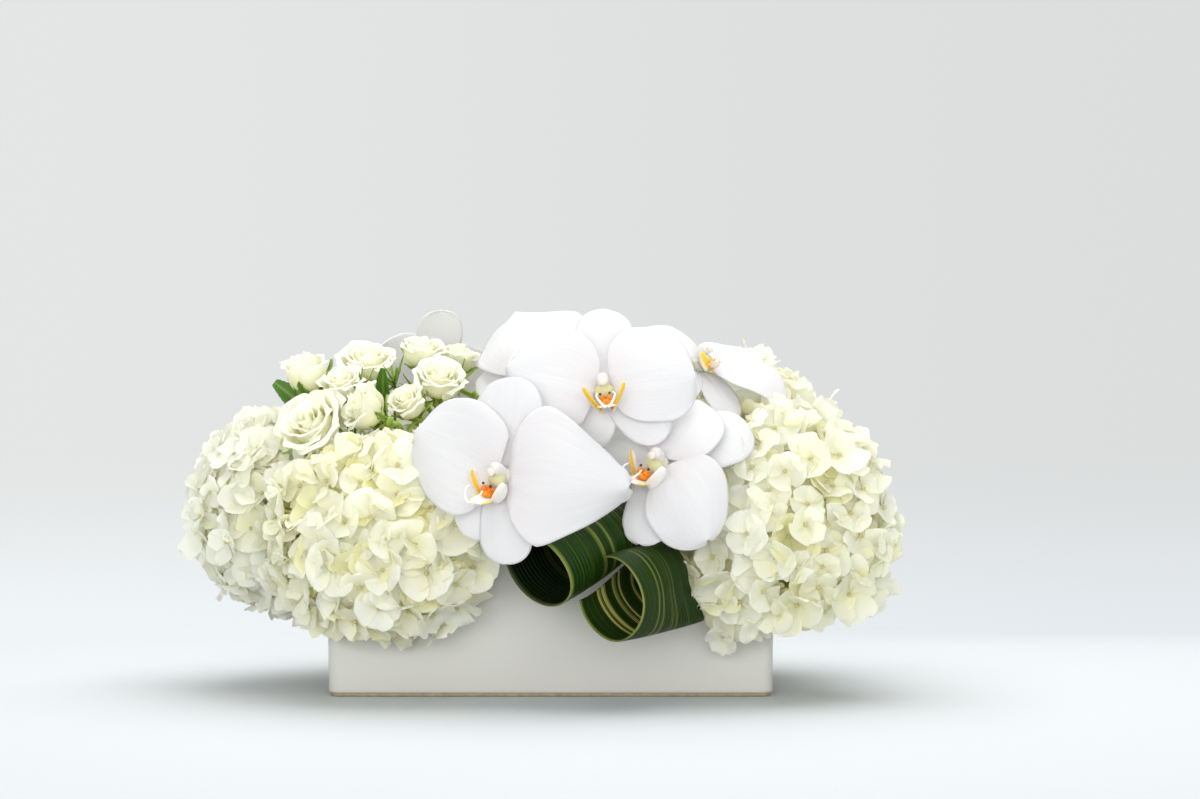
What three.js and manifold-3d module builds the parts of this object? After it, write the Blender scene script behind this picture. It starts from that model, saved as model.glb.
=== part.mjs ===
// Floral table centerpiece: a low rectangular ceramic vase filled with wet floral foam, which holds six
// hydrangea heads, three sprays of small roses, two spikes of moth orchids and two rolled leaves.
// Millimetres, +Z up. The front faces -Y, and the origin is the middle of the vase's underside.

import * as THREE from "three";
import { mergeVertices } from "three/addons/utils/BufferGeometryUtils.js";
import Module from "manifold-3d";

const wasm = await Module();
wasm.setup();

// Driving dimensions

const GAP = 0.35; // air between two pieces that touch
const FULL_TURN = 2 * Math.PI;

const VASE = { length: 254, depth: 102, height: 90, wall: 6, floor: 7, corner: 8, edge: 1.4 };
const FOOT = { inset: 2.2, height: 2 }; // the unglazed ring that the vase stands on
const FOAM = { clearance: 1, rise: 2.5, corner: 4, stemFoot: 38 };
const FOAM_TOP = VASE.height + FOAM.rise;

// A head is an ellipsoid of florets round a smaller core. The stem stands in the foam at foot.
const CORE_SHARE = 0.72;
const HEADS = [
  { name: "left_front", centre: [-90, -44, 92], radii: [73, 64, 62], foot: [-84, -20], seed: 3 },
  { name: "right_front", centre: [122, -36, 95], radii: [73, 62, 73], foot: [106, -18], seed: 7 },
  { name: "left_end", centre: [-146, 10, 101], radii: [66, 60, 62], foot: [-112, 10], seed: 12 },
  { name: "right_back", centre: [108, 48, 118], radii: [68, 58, 76], foot: [86, 28], seed: 19 },
  { name: "left_back", centre: [-86, 56, 104], radii: [66, 56, 64], foot: [-72, 28], seed: 23 },
  { name: "middle_back", centre: [10, 58, 106], radii: [60, 56, 62], foot: [10, 28], seed: 31 },
];
const HEAD_STEM = { radius: 3.4, top: 108, sides: 6 };
const FLORET = { radius: 17, spread: 1.6, spacing: 34, notch: 0.52, dish: 0.16 };
const FLORET_NECK = { radius: 2, depth: 2.6 };

// Roses: the middle of each bloom, the way it opens, its width and height.
const SPRAYS = [
  {
    name: "rose_spray_left",
    foot: [-92, 8],
    fork: [-116, -6, 142],
    roses: [
      { centre: [-143, -15, 182], opens: [-0.15, -0.25, 0.95], width: 29, height: 27, furled: true },
      { centre: [-135, -46, 153], opens: [-0.4, -0.75, 0.6], width: 40, height: 26 },
      { centre: [-120, -30, 176], opens: [-0.1, -0.5, 0.85], width: 25, height: 20 },
    ],
    leaves: [
      { from: [-128, -10, 150], to: [-160, -20, 178], width: 15 },
      { from: [-104, -24, 140], to: [-112, -60, 146], width: 11 },
    ],
  },
  {
    name: "rose_spray_middle",
    foot: [-60, 2],
    fork: [-91, -12, 137],
    roses: [
      { centre: [-104.5, -51.5, 162.5], opens: [-0.8, -0.4, 0.45], width: 28, height: 24 },
      { centre: [-108, 0, 189], opens: [0.05, -0.45, 0.9], width: 35, height: 22 },
      { centre: [-81.5, -34.5, 165.5], opens: [-0.35, -0.6, 0.7], width: 23, height: 20 },
    ],
    leaves: [{ from: [-96, -16, 160], to: [-96, -33, 186], width: 9 }],
  },
  {
    name: "rose_spray_right",
    foot: [-40, 0],
    fork: [-66, 4, 152],
    roses: [
      { centre: [-77, 5, 195], opens: [0.1, -0.3, 0.95], width: 27, height: 21 },
      { centre: [-65, -20, 178], opens: [0.1, -0.55, 0.83], width: 31, height: 22 },
      { centre: [-57, 26, 192], opens: [0.2, -0.2, 0.95], width: 25, height: 20 },
    ],
    leaves: [],
  },
];
const SPRAY = { radius: 2.4, branchRadius: 1.5, sides: 6 };
const CALYX = { radius: 3.4, notch: 4, depth: 3, height: 8 };

// Orchid blooms: the middle, the way each faces, and its five petals and sepals as
// [angle in the bloom's own face in degrees, length, width, sweep back].
const ORCHIDS = [
  {
    name: "1",
    centre: [-24, -114, 127],
    faces: [-0.22, -0.96, 0.1],
    parts: {
      dorsal: [86, 54, 34, 0.08],
      left: [155, 59, 62, 0.2],
      right: [-4, 67, 73, 0.18],
      lowerLeft: [234, 39, 26, 0.16],
      lowerRight: [271, 47, 30, 0.12],
    },
  },
  {
    name: "2",
    centre: [30, -96, 173],
    faces: [0, -0.97, 0.22],
    parts: {
      dorsal: [90, 49, 33, 0.2],
      left: [165, 55, 54, 0.1],
      right: [10, 51, 54, 0.1],
      lowerLeft: [230, 32, 26, 0.3],
      lowerRight: [326, 42, 27, 0.06],
    },
  },
  {
    name: "3",
    centre: [61, -93, 133],
    faces: [-0.25, -0.88, 0.36],
    parts: {
      dorsal: [34, 52, 36, 0.3],
      left: [68, 44, 46, 0.26],
      right: [-55, 50, 52, 0.16],
      lowerLeft: [158, 38, 23, 0.05],
      lowerRight: [258, 45, 28, 0.1],
    },
  },
  {
    name: "4",
    centre: [-6, -32, 182],
    faces: [-0.25, -0.75, 0.6],
    parts: {
      dorsal: [32, 34, 26, 0.3],
      left: [119, 55, 60, 0.05],
      right: [-55, 42, 46, 0.15],
      lowerLeft: [178, 42, 26, 0.12],
      lowerRight: [256, 32, 24, 0.3],
    },
  },
  {
    name: "5",
    centre: [84, -46, 188],
    faces: [0.3, -0.45, 0.8],
    parts: {
      dorsal: [70, 40, 32, 0.3],
      left: [128, 50, 50, 0.1],
      right: [-4, 57, 52, 0.08],
      lowerLeft: [215, 32, 22, 0.3],
      lowerRight: [285, 36, 24, 0.3],
    },
  },
  {
    name: "6",
    centre: [-72, 60, 184],
    faces: [-0.2, 0.93, 0.25],
    parts: {
      dorsal: [90, 42, 28, 0.2],
      left: [188, 42, 40, 0.15],
      right: [12, 42, 42, 0.15],
      lowerLeft: [238, 36, 24, 0.2],
      lowerRight: [310, 38, 24, 0.2],
    },
  },
];
const BLOOM = { hubRadius: 5, hubBack: -4, hubFront: 3, stalkRadius: 1.7, petalThickness: 0.9 };
const SPIKES = [
  {
    name: "orchid_spike_front",
    foot: [20, -8],
    path: [
      [21, -10, 120],
      [24, -24, 158],
      [26, -44, 168],
      [27, -60, 150],
      [26, -72, 128],
    ],
    blooms: [
      ["4", [23, -20, 150]],
      ["5", [25, -34, 165]],
      ["2", [26, -50, 165]],
      ["3", [27, -62, 147]],
      ["1", [26, -70, 132]],
    ],
  },
  {
    name: "orchid_spike_back",
    foot: [-28, 22],
    path: [
      [-32, 26, 120],
      [-40, 34, 160],
      [-48, 40, 172],
    ],
    blooms: [["6", [-44, 38, 168]]],
  },
];
const SPIKE = { radius: 2.6, sides: 6 };

// Rolled leaves: a roll from its mouth, near the viewer, to its narrow back end. The tail drags the lower
// edge of the roll along the table.
const LEAVES = [
  {
    name: "rolled_leaf_left",
    mouth: [-6, -99, 75],
    back: [64, -48, 111],
    mouthRadii: [29, 21.5],
    backRadii: [5, 5],
    seam: 110,
    turn: 346,
    tail: [0, 0, 0],
    foot: [60, -26],
    path: [
      [60.5, -29, 101],
      [62, -38, 107],
      [63, -46, 107],
    ],
  },
  {
    name: "rolled_leaf_right",
    mouth: [34, -116, 61],
    back: [66, -73, 70],
    mouthRadii: [21, 23],
    backRadii: [13, 19],
    seam: 96,
    turn: 272,
    tail: [16, 2, -6],
    foot: [76, -30],
    path: [
      [75.5, -33, 97],
      [72, -46, 100],
      [68, -60, 98],
      [67, -72, 93],
      [66, -80, 87],
    ],
  },
];
const LEAF = { thickness: 0.9, backTurn: 348, taper: 2.2, radius: 2.4, sides: 6 };

const FINISH = {
  glaze: new THREE.MeshStandardMaterial({ color: 0xeeece6, roughness: 0.2 }),
  foam: new THREE.MeshStandardMaterial({ color: 0x2f4a2c, roughness: 0.95 }),
  hydrangea: new THREE.MeshStandardMaterial({ color: 0xf0f0d8, roughness: 0.7 }),
  rose: new THREE.MeshStandardMaterial({ color: 0xf4f1d4, roughness: 0.65 }),
  orchid: new THREE.MeshStandardMaterial({ color: 0xfafafa, roughness: 0.55 }),
  lip: new THREE.MeshStandardMaterial({ color: 0xf3b41c, roughness: 0.5 }),
  stem: new THREE.MeshStandardMaterial({ color: 0x6f8f42, roughness: 0.6 }),
  leaf: new THREE.MeshStandardMaterial({ color: 0x2a4a1e, roughness: 0.4 }),
};

// Solids and their boxes

function vector(values) {
  return new THREE.Vector3(...values);
}

function solidOf(geometry) {
  const bare = geometry.index ? geometry.toNonIndexed() : geometry.clone();
  bare.deleteAttribute("normal");
  bare.deleteAttribute("uv");
  const merged = mergeVertices(bare, 1e-4);
  return new wasm.Manifold(
    new wasm.Mesh({
      numProp: 3,
      vertProperties: merged.attributes.position.array,
      triVerts: new Uint32Array(merged.index.array),
    }),
  );
}

function largestBody(solid) {
  return solid.decompose().reduce((a, b) => (b.volume() > a.volume() ? b : a));
}

function joined(solids) {
  return largestBody(wasm.Manifold.union(solids));
}

function geometryFrom(points, faces) {
  const positions = new Float32Array(points.flatMap((p) => [p.x, p.y, p.z]));
  const geometry = new THREE.BufferGeometry();
  geometry.setAttribute("position", new THREE.BufferAttribute(positions, 3));
  geometry.setIndex(faces.flat());
  return geometry;
}

function meshOf(name, solid, material) {
  const { numProp, numVert, vertProperties, triVerts } = solid.getMesh();
  const positions = new Float32Array(numVert * 3);
  for (let i = 0; i < numVert; i++)
    positions.set(vertProperties.subarray(i * numProp, i * numProp + 3), i * 3);
  const geometry = new THREE.BufferGeometry();
  geometry.setAttribute("position", new THREE.BufferAttribute(positions, 3));
  geometry.setIndex(new THREE.BufferAttribute(new Uint32Array(triVerts), 1));
  geometry.computeVertexNormals();
  const mesh = new THREE.Mesh(geometry, material);
  mesh.name = name;
  return mesh;
}

function boxesNear(a, b, gap) {
  return [0, 1, 2].every((k) => a.min[k] - gap < b.max[k] && b.min[k] - gap < a.max[k]);
}

// True where solid keeps at least gap to every solid of others.
function clears(solid, others, gap) {
  const box = solid.boundingBox();
  return others.every((other) => {
    if (!boxesNear(box, other.boundingBox(), gap)) return true;
    return solid.minGap(other, 2 * gap) >= gap;
  });
}

function randomFrom(seed) {
  let state = seed * 2654435761;
  return () => {
    state = (state + 0x6d2b79f5) | 0;
    let t = Math.imul(state ^ (state >>> 15), 1 | state);
    t = (t + Math.imul(t ^ (t >>> 7), 61 | t)) ^ t;
    return ((t ^ (t >>> 14)) >>> 0) / 4294967296;
  };
}

// General shapes

// A thin closed blade: the sheet place(u, v), with u and v from 0 to 1, thickened to both sides and cut
// into the same triangles on both faces.
function blade(place, across, along, thickness) {
  const step = 1e-3;
  const points = [];
  const index = (i, j) => j * (across + 1) + i;
  for (const side of [0.5, -0.5])
    for (let j = 0; j <= along; j++)
      for (let i = 0; i <= across; i++) {
        const u = i / across;
        const v = j / along;
        const du = place(Math.min(1, u + step), v).sub(place(Math.max(0, u - step), v));
        const dv = place(u, Math.min(1, v + step)).sub(place(u, Math.max(0, v - step)));
        const normal = du.cross(dv).normalize();
        points.push(place(u, v).addScaledVector(normal, side * thickness));
      }
  const other = points.length / 2;
  const faces = [];
  for (let j = 0; j < along; j++)
    for (let i = 0; i < across; i++) {
      const [a, b, c, d] = [index(i, j), index(i + 1, j), index(i, j + 1), index(i + 1, j + 1)];
      faces.push([a, b, c], [b, d, c]);
      faces.push([a + other, c + other, b + other], [b + other, c + other, d + other]);
    }
  const rim = [];
  for (let i = 0; i < across; i++) rim.push(index(i, 0));
  for (let j = 0; j < along; j++) rim.push(index(across, j));
  for (let i = across; i > 0; i--) rim.push(index(i, along));
  for (let j = along; j > 0; j--) rim.push(index(0, j));
  rim.forEach((p, k) => {
    const q = rim[(k + 1) % rim.length];
    faces.push([q, p, p + other], [q, p + other, q + other]);
  });
  return solidOf(geometryFrom(points, faces));
}

// A round rod of even thickness along a smooth curve through the points.
function rod(points, radius, sides, stepLength = 26) {
  const path = new THREE.CatmullRomCurve3(points.map(vector));
  const corners = Array.from({ length: sides }, (_, k) => {
    const angle = (FULL_TURN * k) / sides;
    return new THREE.Vector2(radius * Math.cos(angle), radius * Math.sin(angle));
  });
  const steps = points.length < 3 ? 1 : Math.max(2, Math.round(path.getLength() / stepLength));
  const settings = { extrudePath: path, steps, bevelEnabled: false };
  return solidOf(new THREE.ExtrudeGeometry(new THREE.Shape(corners), settings));
}

// A stem stands upright in the foam and may go on along a curve above it. It grows by air for its hole.
function stem({ foot: [x, y], path }, { radius, sides, top }, air = 0) {
  const grown = radius + air / Math.cos(Math.PI / sides);
  const high = (path ? FOAM_TOP + 3 : top) + air;
  const low = FOAM.stemFoot - air;
  const straight = solidOf(plug(grown, grown, low, high, sides).translate(x, y, 0));
  if (!path) return [straight];
  return [straight, rod([[x, y, FOAM_TOP], ...path], 0.92 * grown, sides)];
}

// The frame of a flower: z the way it faces, y as near to straight up as it can be.
function flowerFrame(centre, faces) {
  const z = vector(faces).normalize();
  const x = new THREE.Vector3(0, 0, 1).cross(z).normalize();
  const y = z.clone().cross(x);
  return new THREE.Matrix4().makeBasis(x, y, z).setPosition(...centre);
}

function placed(geometry, matrix) {
  return solidOf(geometry.clone().applyMatrix4(matrix));
}

// A short round block along z, from low to high.
function plug(lowRadius, highRadius, low, high, sides) {
  const geometry = new THREE.CylinderGeometry(highRadius, lowRadius, high - low, sides);
  geometry.rotateX(Math.PI / 2);
  return geometry.translate(0, 0, (low + high) / 2);
}

// Vase and foam

function roundedRectangle(length, depth, radius) {
  const shape = new THREE.Shape();
  const [x, y] = [length / 2 - radius, depth / 2 - radius];
  shape.moveTo(x + radius, -y);
  shape.absarc(x, y, radius, 0, Math.PI / 2);
  shape.absarc(-x, y, radius, Math.PI / 2, Math.PI);
  shape.absarc(-x, -y, radius, Math.PI, 1.5 * Math.PI);
  shape.absarc(x, -y, radius, 1.5 * Math.PI, 2 * Math.PI);
  return shape;
}

function block(length, depth, radius, low, high, curveSegments = 2) {
  const settings = { depth: high - low, bevelEnabled: false, curveSegments };
  const geometry = new THREE.ExtrudeGeometry(roundedRectangle(length, depth, radius), settings);
  return solidOf(geometry.translate(0, 0, low));
}

// A block whose top and bottom edges are rounded off by edge.
function softBlock(length, depth, radius, low, high, edge) {
  const shape = roundedRectangle(length - 2 * edge, depth - 2 * edge, radius - edge);
  const settings = {
    depth: high - low - 2 * edge,
    bevelThickness: edge,
    bevelSize: edge,
    bevelSegments: 1,
    curveSegments: 3,
  };
  return solidOf(new THREE.ExtrudeGeometry(shape, settings).translate(0, 0, low + edge));
}

function vase() {
  const { length, depth, height, wall, floor, corner, edge } = VASE;
  const body = softBlock(length, depth, corner, FOOT.height - edge, height, edge);
  const foot = block(length - 2 * FOOT.inset, depth - 2 * FOOT.inset, corner - 1, 0, FOOT.height + edge);
  const inside = block(length - 2 * wall, depth - 2 * wall, corner - 3, floor, height + 1);
  return wasm.Manifold.union([body, foot]).subtract(inside);
}

function foam(holes) {
  const inset = 2 * (VASE.wall + FOAM.clearance);
  const low = VASE.floor + GAP;
  const brick = block(VASE.length - inset, VASE.depth - inset, FOAM.corner, low, FOAM_TOP);
  return largestBody(brick.subtract(wasm.Manifold.union(holes)));
}

// Flower-like shapes

// A closed shape of lobes round a middle, over a neck that runs down to a root. Each lobe lists its points
// round the outline and ends in the notch before the next lobe.
function lobed(lobes, neck, middle, root) {
  const size = lobes[0].length;
  const count = lobes.length;
  const points = [...lobes.flat(), ...neck, middle, root];
  const [outline, top, bottom] = [count * size, points.length - 2, points.length - 1];
  const faces = [];
  for (let i = 0; i < outline; i++) faces.push([top, i, (i + 1) % outline]);
  for (let k = 0; k < count; k++) {
    const [first, last, next] = [k * size, k * size + size - 1, ((k + 1) % count) * size];
    const [here, there] = [outline + k, outline + ((k + 1) % count)];
    for (let i = first; i < last; i++) faces.push([i + 1, i, here]);
    faces.push([last, here, there], [next, last, there], [there, here, bottom]);
  }
  return solidOf(geometryFrom(points, faces));
}

// A point of a flower's frame, from its angle, its distance from the axis and its height.
function polar(frame, angle, distance, height) {
  const point = new THREE.Vector3(distance * Math.cos(angle), distance * Math.sin(angle), height);
  return point.applyMatrix4(frame);
}

// Hydrangea heads

// One four-lobed floret on its stalk: place is its middle, out the way it faces, anchor the stalk's root.
function floret(place, out, spin, radius, anchor) {
  const frame = flowerFrame(place.toArray(), out.toArray());
  const quarter = Math.PI / 2;
  const lobes = [0, 1, 2, 3].map((k) => {
    const angle = spin + k * quarter;
    const lift = FLORET.dish * radius * (k % 2 ? 1 : 0.5);
    return [
      polar(frame, angle - 0.3 * quarter, radius, lift),
      polar(frame, angle + 0.3 * quarter, radius, lift),
      polar(frame, angle + 0.5 * quarter, radius * FLORET.notch, 0),
    ];
  });
  const { radius: neckRadius, depth } = FLORET_NECK;
  const neck = [0, 1, 2, 3].map((k) => polar(frame, spin + k * quarter, neckRadius, -depth));
  return lobed(lobes, neck, polar(frame, 0, 0, 0.02 * radius), anchor.clone());
}

function ellipsoid(centre, radii, share, grow = 0) {
  const ball = new THREE.IcosahedronGeometry(1, 1);
  ball.scale(...radii.map((r) => r * share + grow));
  return solidOf(ball.translate(...centre));
}

// How far out a point lies in a head: 0 in its middle, 1 on its surface.
function reach(point, head) {
  const d = point.clone().sub(vector(head.centre));
  return Math.hypot(d.x / head.radii[0], d.y / head.radii[1], d.z / head.radii[2]);
}

// Moves a floret's root out of the vase and the foam, to the side that it hangs over.
function outOfVase(point) {
  const margin = 6;
  const [x, y] = [VASE.length / 2 + margin, VASE.depth / 2 + margin];
  const top = FOAM_TOP + margin;
  if (Math.abs(point.x) > x || Math.abs(point.y) > y || point.z > top) return point;
  const moved = point.clone();
  const ways = [x - Math.abs(point.x), y - Math.abs(point.y), top - point.z];
  const least = ways.indexOf(Math.min(...ways));
  if (least === 0) moved.x = Math.sign(point.x) * x;
  if (least === 1) moved.y = Math.sign(point.y) * y;
  if (least === 2) moved.z = top;
  return moved;
}

// The core of a head lies on the foam and over the rim, cut clear of the other cores and of every stem.
function headCore(head, cutters) {
  const rest = block(VASE.length + 2 * GAP, VASE.depth + 2 * GAP, VASE.corner, -10, FOAM_TOP + GAP);
  const cut = wasm.Manifold.union([rest, ...cutters]);
  return largestBody(ellipsoid(head.centre, head.radii, CORE_SHARE).subtract(cut));
}

// The florets stand evenly all round the head, where it is open to the air. One that would touch another
// piece sits deeper or a little higher, and is left out if neither clears it. One that would only touch
// its own head's florets is moved likewise if that helps.
function headFlorets(head, core, obstacles) {
  const random = randomFrom(head.seed);
  const golden = Math.PI * (3 - Math.sqrt(5));
  const centre = vector(head.centre);
  const radii = vector(head.radii);
  const mean = (radii.x + radii.y + radii.z) / 3;
  const count = Math.round((2 * FULL_TURN * mean ** 2) / (0.87 * FLORET.spacing ** 2));
  const found = [];
  for (let i = 0; i < count; i++) {
    const height = 1 - (2 * i + 1) / count;
    const around = golden * i + 0.06 * random();
    const ring = Math.sqrt(1 - height * height);
    const way = new THREE.Vector3(ring * Math.cos(around), ring * Math.sin(around), height);
    const tilt = new THREE.Vector3(random() - 0.5, random() - 0.5, random() - 0.5);
    const spin = random() * FULL_TURN;
    const radius = FLORET.radius + FLORET.spread * (random() - 0.5);
    const lift = 4 * (random() - 0.5) - 1;
    const surface = way.clone().multiply(radii);
    if (HEADS.some((other) => other !== head && reach(surface.clone().add(centre), other) < 0.92)) continue;
    const out = way.clone().divide(radii).normalize().addScaledVector(tilt, 0.3);
    const anchor = outOfVase(surface.clone().multiplyScalar(CORE_SHARE - 0.25).add(centre));
    const spins = [0, 1, 2, 3, 4, 5].map((k) => spin + (k * Math.PI) / 12);
    const shifts = [lift, lift - 5, lift - 9, lift + 4];
    const tries = shifts.flatMap((shift) =>
      spins.map((turn) =>
        floret(surface.clone().addScaledVector(out, shift).add(centre), out, turn, radius, anchor),
      ),
    );
    const free = tries.filter((made) => clears(made, obstacles, GAP) && made.intersect(core).volume() > 0.5);
    const best = free.find((made) => clears(made, found, GAP)) ?? free[0];
    if (best) found.push(best);
  }
  return found;
}

// Roses

// One petal of a rose: a curved blade round the bloom's axis.
function rosePetal(matrix, { turn, span, radius, height, flare }) {
  const place = (u, v) => {
    const side = 2 * u - 1;
    const angle = turn + 0.5 * span * side * (0.45 + 0.55 * Math.sin(0.5 * Math.PI * Math.min(1, 1.6 * v)));
    const belly = Math.sin(0.5 * Math.PI * Math.min(1, 1.3 * v)) ** 0.8;
    const r = 2 + (radius - 2) * belly + flare * v * v;
    const z = 1 + (height - 1) * v * (1 - 0.16 * side * side);
    return polar(matrix, angle, r, z);
  };
  return blade(place, 2, 2, 0.8);
}

// A rose: a furled heart, an inner whorl that stands round it and an outer whorl that opens.
function rose({ centre, opens, width, height, furled }) {
  const base = vector(centre).addScaledVector(vector(opens).normalize(), -height / 2);
  const matrix = flowerFrame(base.toArray(), opens);
  const outer = width / 2;
  const parts = [
    placed(plug(3.4, 4.2, 0, 4.5, 5), matrix),
    placed(plug(outer * 0.24, outer * 0.14, 0.5 * height, height, 4), matrix),
    innerWhorl(matrix, outer * 0.56, height),
  ];
  const petals = width > 30 ? 5 : 4;
  for (let k = 0; k < petals; k++) {
    const inside = k % 2 === 0;
    const petal = {
      turn: (FULL_TURN * k) / petals,
      span: (0.94 * FULL_TURN) / petals,
      radius: outer * (furled ? 0.88 : 0.8) - (inside ? 1.2 : 0),
      height: height * (furled ? 0.92 : 0.82) + (inside ? 1 : 0),
      flare: outer * (furled ? 0.1 : 0.22),
    };
    parts.push(rosePetal(matrix, petal));
  }
  return joined(parts);
}

// The inner petals of a rose, as one cup with four lobes that overlap round the heart.
function innerWhorl(matrix, radius, height) {
  const quarter = FULL_TURN / 4;
  const lobes = [0, 1, 2, 3].map((k) => {
    const angle = 0.4 + k * quarter;
    return [
      polar(matrix, angle - 0.28 * quarter, radius, 0.98 * height),
      polar(matrix, angle + 0.28 * quarter, radius * 0.92, 0.95 * height),
      polar(matrix, angle + 0.5 * quarter, radius * 0.72, 0.72 * height),
    ];
  });
  const neck = [0, 1, 2, 3].map((k) => polar(matrix, 0.4 + k * quarter, 0.86 * radius, 0.4 * height));
  return lobed(lobes, neck, polar(matrix, 0, 0, 0.6 * height), polar(matrix, 0, 0, 3));
}

// The green cup under a rose, with five sepals that hug a furled bloom and hang from an open one.
function calyx(matrix, { width, furled }) {
  const share = FULL_TURN / 5;
  const [reachOut, rise, middle] = furled ? [0.5 * width, 3, -1.6] : [0.3 * width, -3.5, -GAP];
  const lobes = [0, 1, 2, 3, 4].map((k) => [
    polar(matrix, k * share, reachOut, rise),
    polar(matrix, (k + 0.5) * share, CALYX.notch, middle - 0.9),
  ]);
  const neck = lobes.map((_, k) => polar(matrix, k * share, CALYX.radius, middle - CALYX.depth));
  return lobed(lobes, neck, polar(matrix, 0, 0, middle), polar(matrix, 0, 0, -CALYX.height));
}

function pointedLeaf(from, to, width) {
  const start = vector(from);
  const run = vector(to).sub(start);
  const side = run.clone().cross(new THREE.Vector3(0, 0, 1)).normalize();
  const lift = side.clone().cross(run).normalize();
  const place = (u, v) => {
    const half = 0.5 * width * (0.12 + 0.88 * Math.sin(Math.PI * Math.min(1, 0.9 * v) ** 0.8));
    const across = (2 * u - 1) * half;
    return start
      .clone()
      .addScaledVector(run, v)
      .addScaledVector(side, across)
      .addScaledVector(lift, 0.25 * Math.abs(across) + 4 * v * (1 - v));
  };
  return blade(place, 2, 3, 0.8);
}

function sprayRods(spray, air = 0) {
  const { foot, fork, roses, leaves } = spray;
  const parts = stem({ foot, path: [fork] }, SPRAY, air);
  for (const bloom of roses) {
    const way = vector(bloom.opens).normalize();
    const base = vector(bloom.centre).addScaledVector(way, -bloom.height / 2);
    const end = base.clone().addScaledVector(way, 0.45 * -CALYX.height);
    const bend = end.clone().addScaledVector(way, -8);
    parts.push(rod([fork, bend.toArray(), end.toArray()], SPRAY.branchRadius + air, 4));
  }
  for (const { from } of leaves) parts.push(rod([fork, from], SPRAY.branchRadius + air, 4));
  return parts;
}

function roseSpray(spray) {
  const cups = spray.roses.map((bloom) => {
    const base = vector(bloom.centre).addScaledVector(vector(bloom.opens).normalize(), -bloom.height / 2);
    return calyx(flowerFrame(base.toArray(), bloom.opens), bloom);
  });
  const leaves = spray.leaves.map(({ from, to, width }) => pointedLeaf(from, to, width));
  return joined([...sprayRods(spray), ...cups, ...leaves]);
}

// Orchids

// A petal or sepal in the bloom's own frame. Broad petals stand in front of the sepals.
function orchidPetal(matrix, [degrees, length, width, sweep], broad) {
  const turn = THREE.MathUtils.degToRad(degrees);
  const shape = broad
    ? (v) => (0.09 * (1 - v) + Math.sin(0.6 * Math.PI * v ** 0.55)) * (1 - 0.42 * v ** 6)
    : (v) => (0.11 * (1 - v) + Math.sin(0.7 * Math.PI * v ** 0.72)) * (1 - 0.22 * v ** 6);
  const level = broad ? 1.2 : -2.5;
  const root = broad ? 3.2 : 2.6;
  const place = (u, v) => {
    const side = 2 * u - 1;
    const across = 0.5 * width * shape(v) * side;
    const along = root + (length - root) * v * (1 - (broad ? 0.18 : 0.12) * side * side * v);
    const z = level - sweep * length * v ** 1.6 - 0.05 * width * side * side * v;
    const point = new THREE.Vector3(
      along * Math.cos(turn) - across * Math.sin(turn),
      along * Math.sin(turn) + across * Math.cos(turn),
      z,
    );
    return point.applyMatrix4(matrix);
  };
  return broad ? blade(place, 4, 3, BLOOM.petalThickness) : blade(place, 2, 2, BLOOM.petalThickness);
}

// The bloom's frame, turned so that the lip hangs between the two lower sepals.
function lipFrame({ centre, faces, parts }) {
  const lower = THREE.MathUtils.degToRad(0.5 * (parts.lowerLeft[0] + parts.lowerRight[0]) - 270);
  return flowerFrame(centre, faces).multiply(new THREE.Matrix4().makeRotationZ(lower));
}

function orchidBloom(bloom) {
  const { centre, faces, parts } = bloom;
  const matrix = flowerFrame(centre, faces);
  const { left, right, ...sepals } = parts;
  const column = new THREE.OctahedronGeometry(1).scale(3.2, 3.6, 6).translate(0, 2, 5.5);
  return joined([
    placed(plug(3.4, BLOOM.hubRadius, BLOOM.hubBack, BLOOM.hubFront, 6), lipFrame(bloom)),
    placed(column, matrix),
    orchidPetal(matrix, left, true),
    orchidPetal(matrix, right, true),
    ...Object.values(sepals).map((sepal) => orchidPetal(matrix, sepal, false)),
  ]);
}

// The lip hangs under the column: two side lobes that stand up, a middle lobe that comes forward and a
// small crest between them.
function orchidLip(bloom) {
  const matrix = lipFrame(bloom);
  const at = (x, y, z) => new THREE.Vector3(x, y, z).applyMatrix4(matrix);
  const lobes = [
    [at(11, -1, 9.5), at(10.5, 5.5, 9), at(0, -5.2, 7.5)],
    [at(-10.5, 5.5, 9), at(-11, -1, 9.5), at(-3.6, -9.5, 7)],
    [at(-4.6, -12.5, 19), at(4.6, -12.5, 19), at(3.6, -9.5, 7)],
  ];
  const neck = [at(1.9, -6.4, 4.6), at(-1.9, -6.4, 4.6), at(0, -9.4, 4.6)];
  const crest = new THREE.OctahedronGeometry(2.8).translate(0, -7.6, 8);
  return joined([lobed(lobes, neck, at(0, -7.4, 6.4), at(0, -5.4, 2.6)), placed(crest, matrix)]);
}

// A spike in the foam with the stalk of each of its blooms.
function spikeRods(spike, air = 0) {
  const parts = stem(spike, SPIKE, air);
  for (const [name, from] of spike.blooms) {
    const { centre, faces } = ORCHIDS.find((bloom) => bloom.name === name);
    const way = vector(faces).normalize();
    const end = vector(centre).addScaledVector(way, BLOOM.hubBack - GAP);
    const bend = end.clone().addScaledVector(way, -7);
    parts.push(rod([from, bend.toArray(), end.toArray()], BLOOM.stalkRadius + air, 5));
  }
  return parts;
}

// Rolled leaves

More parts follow.
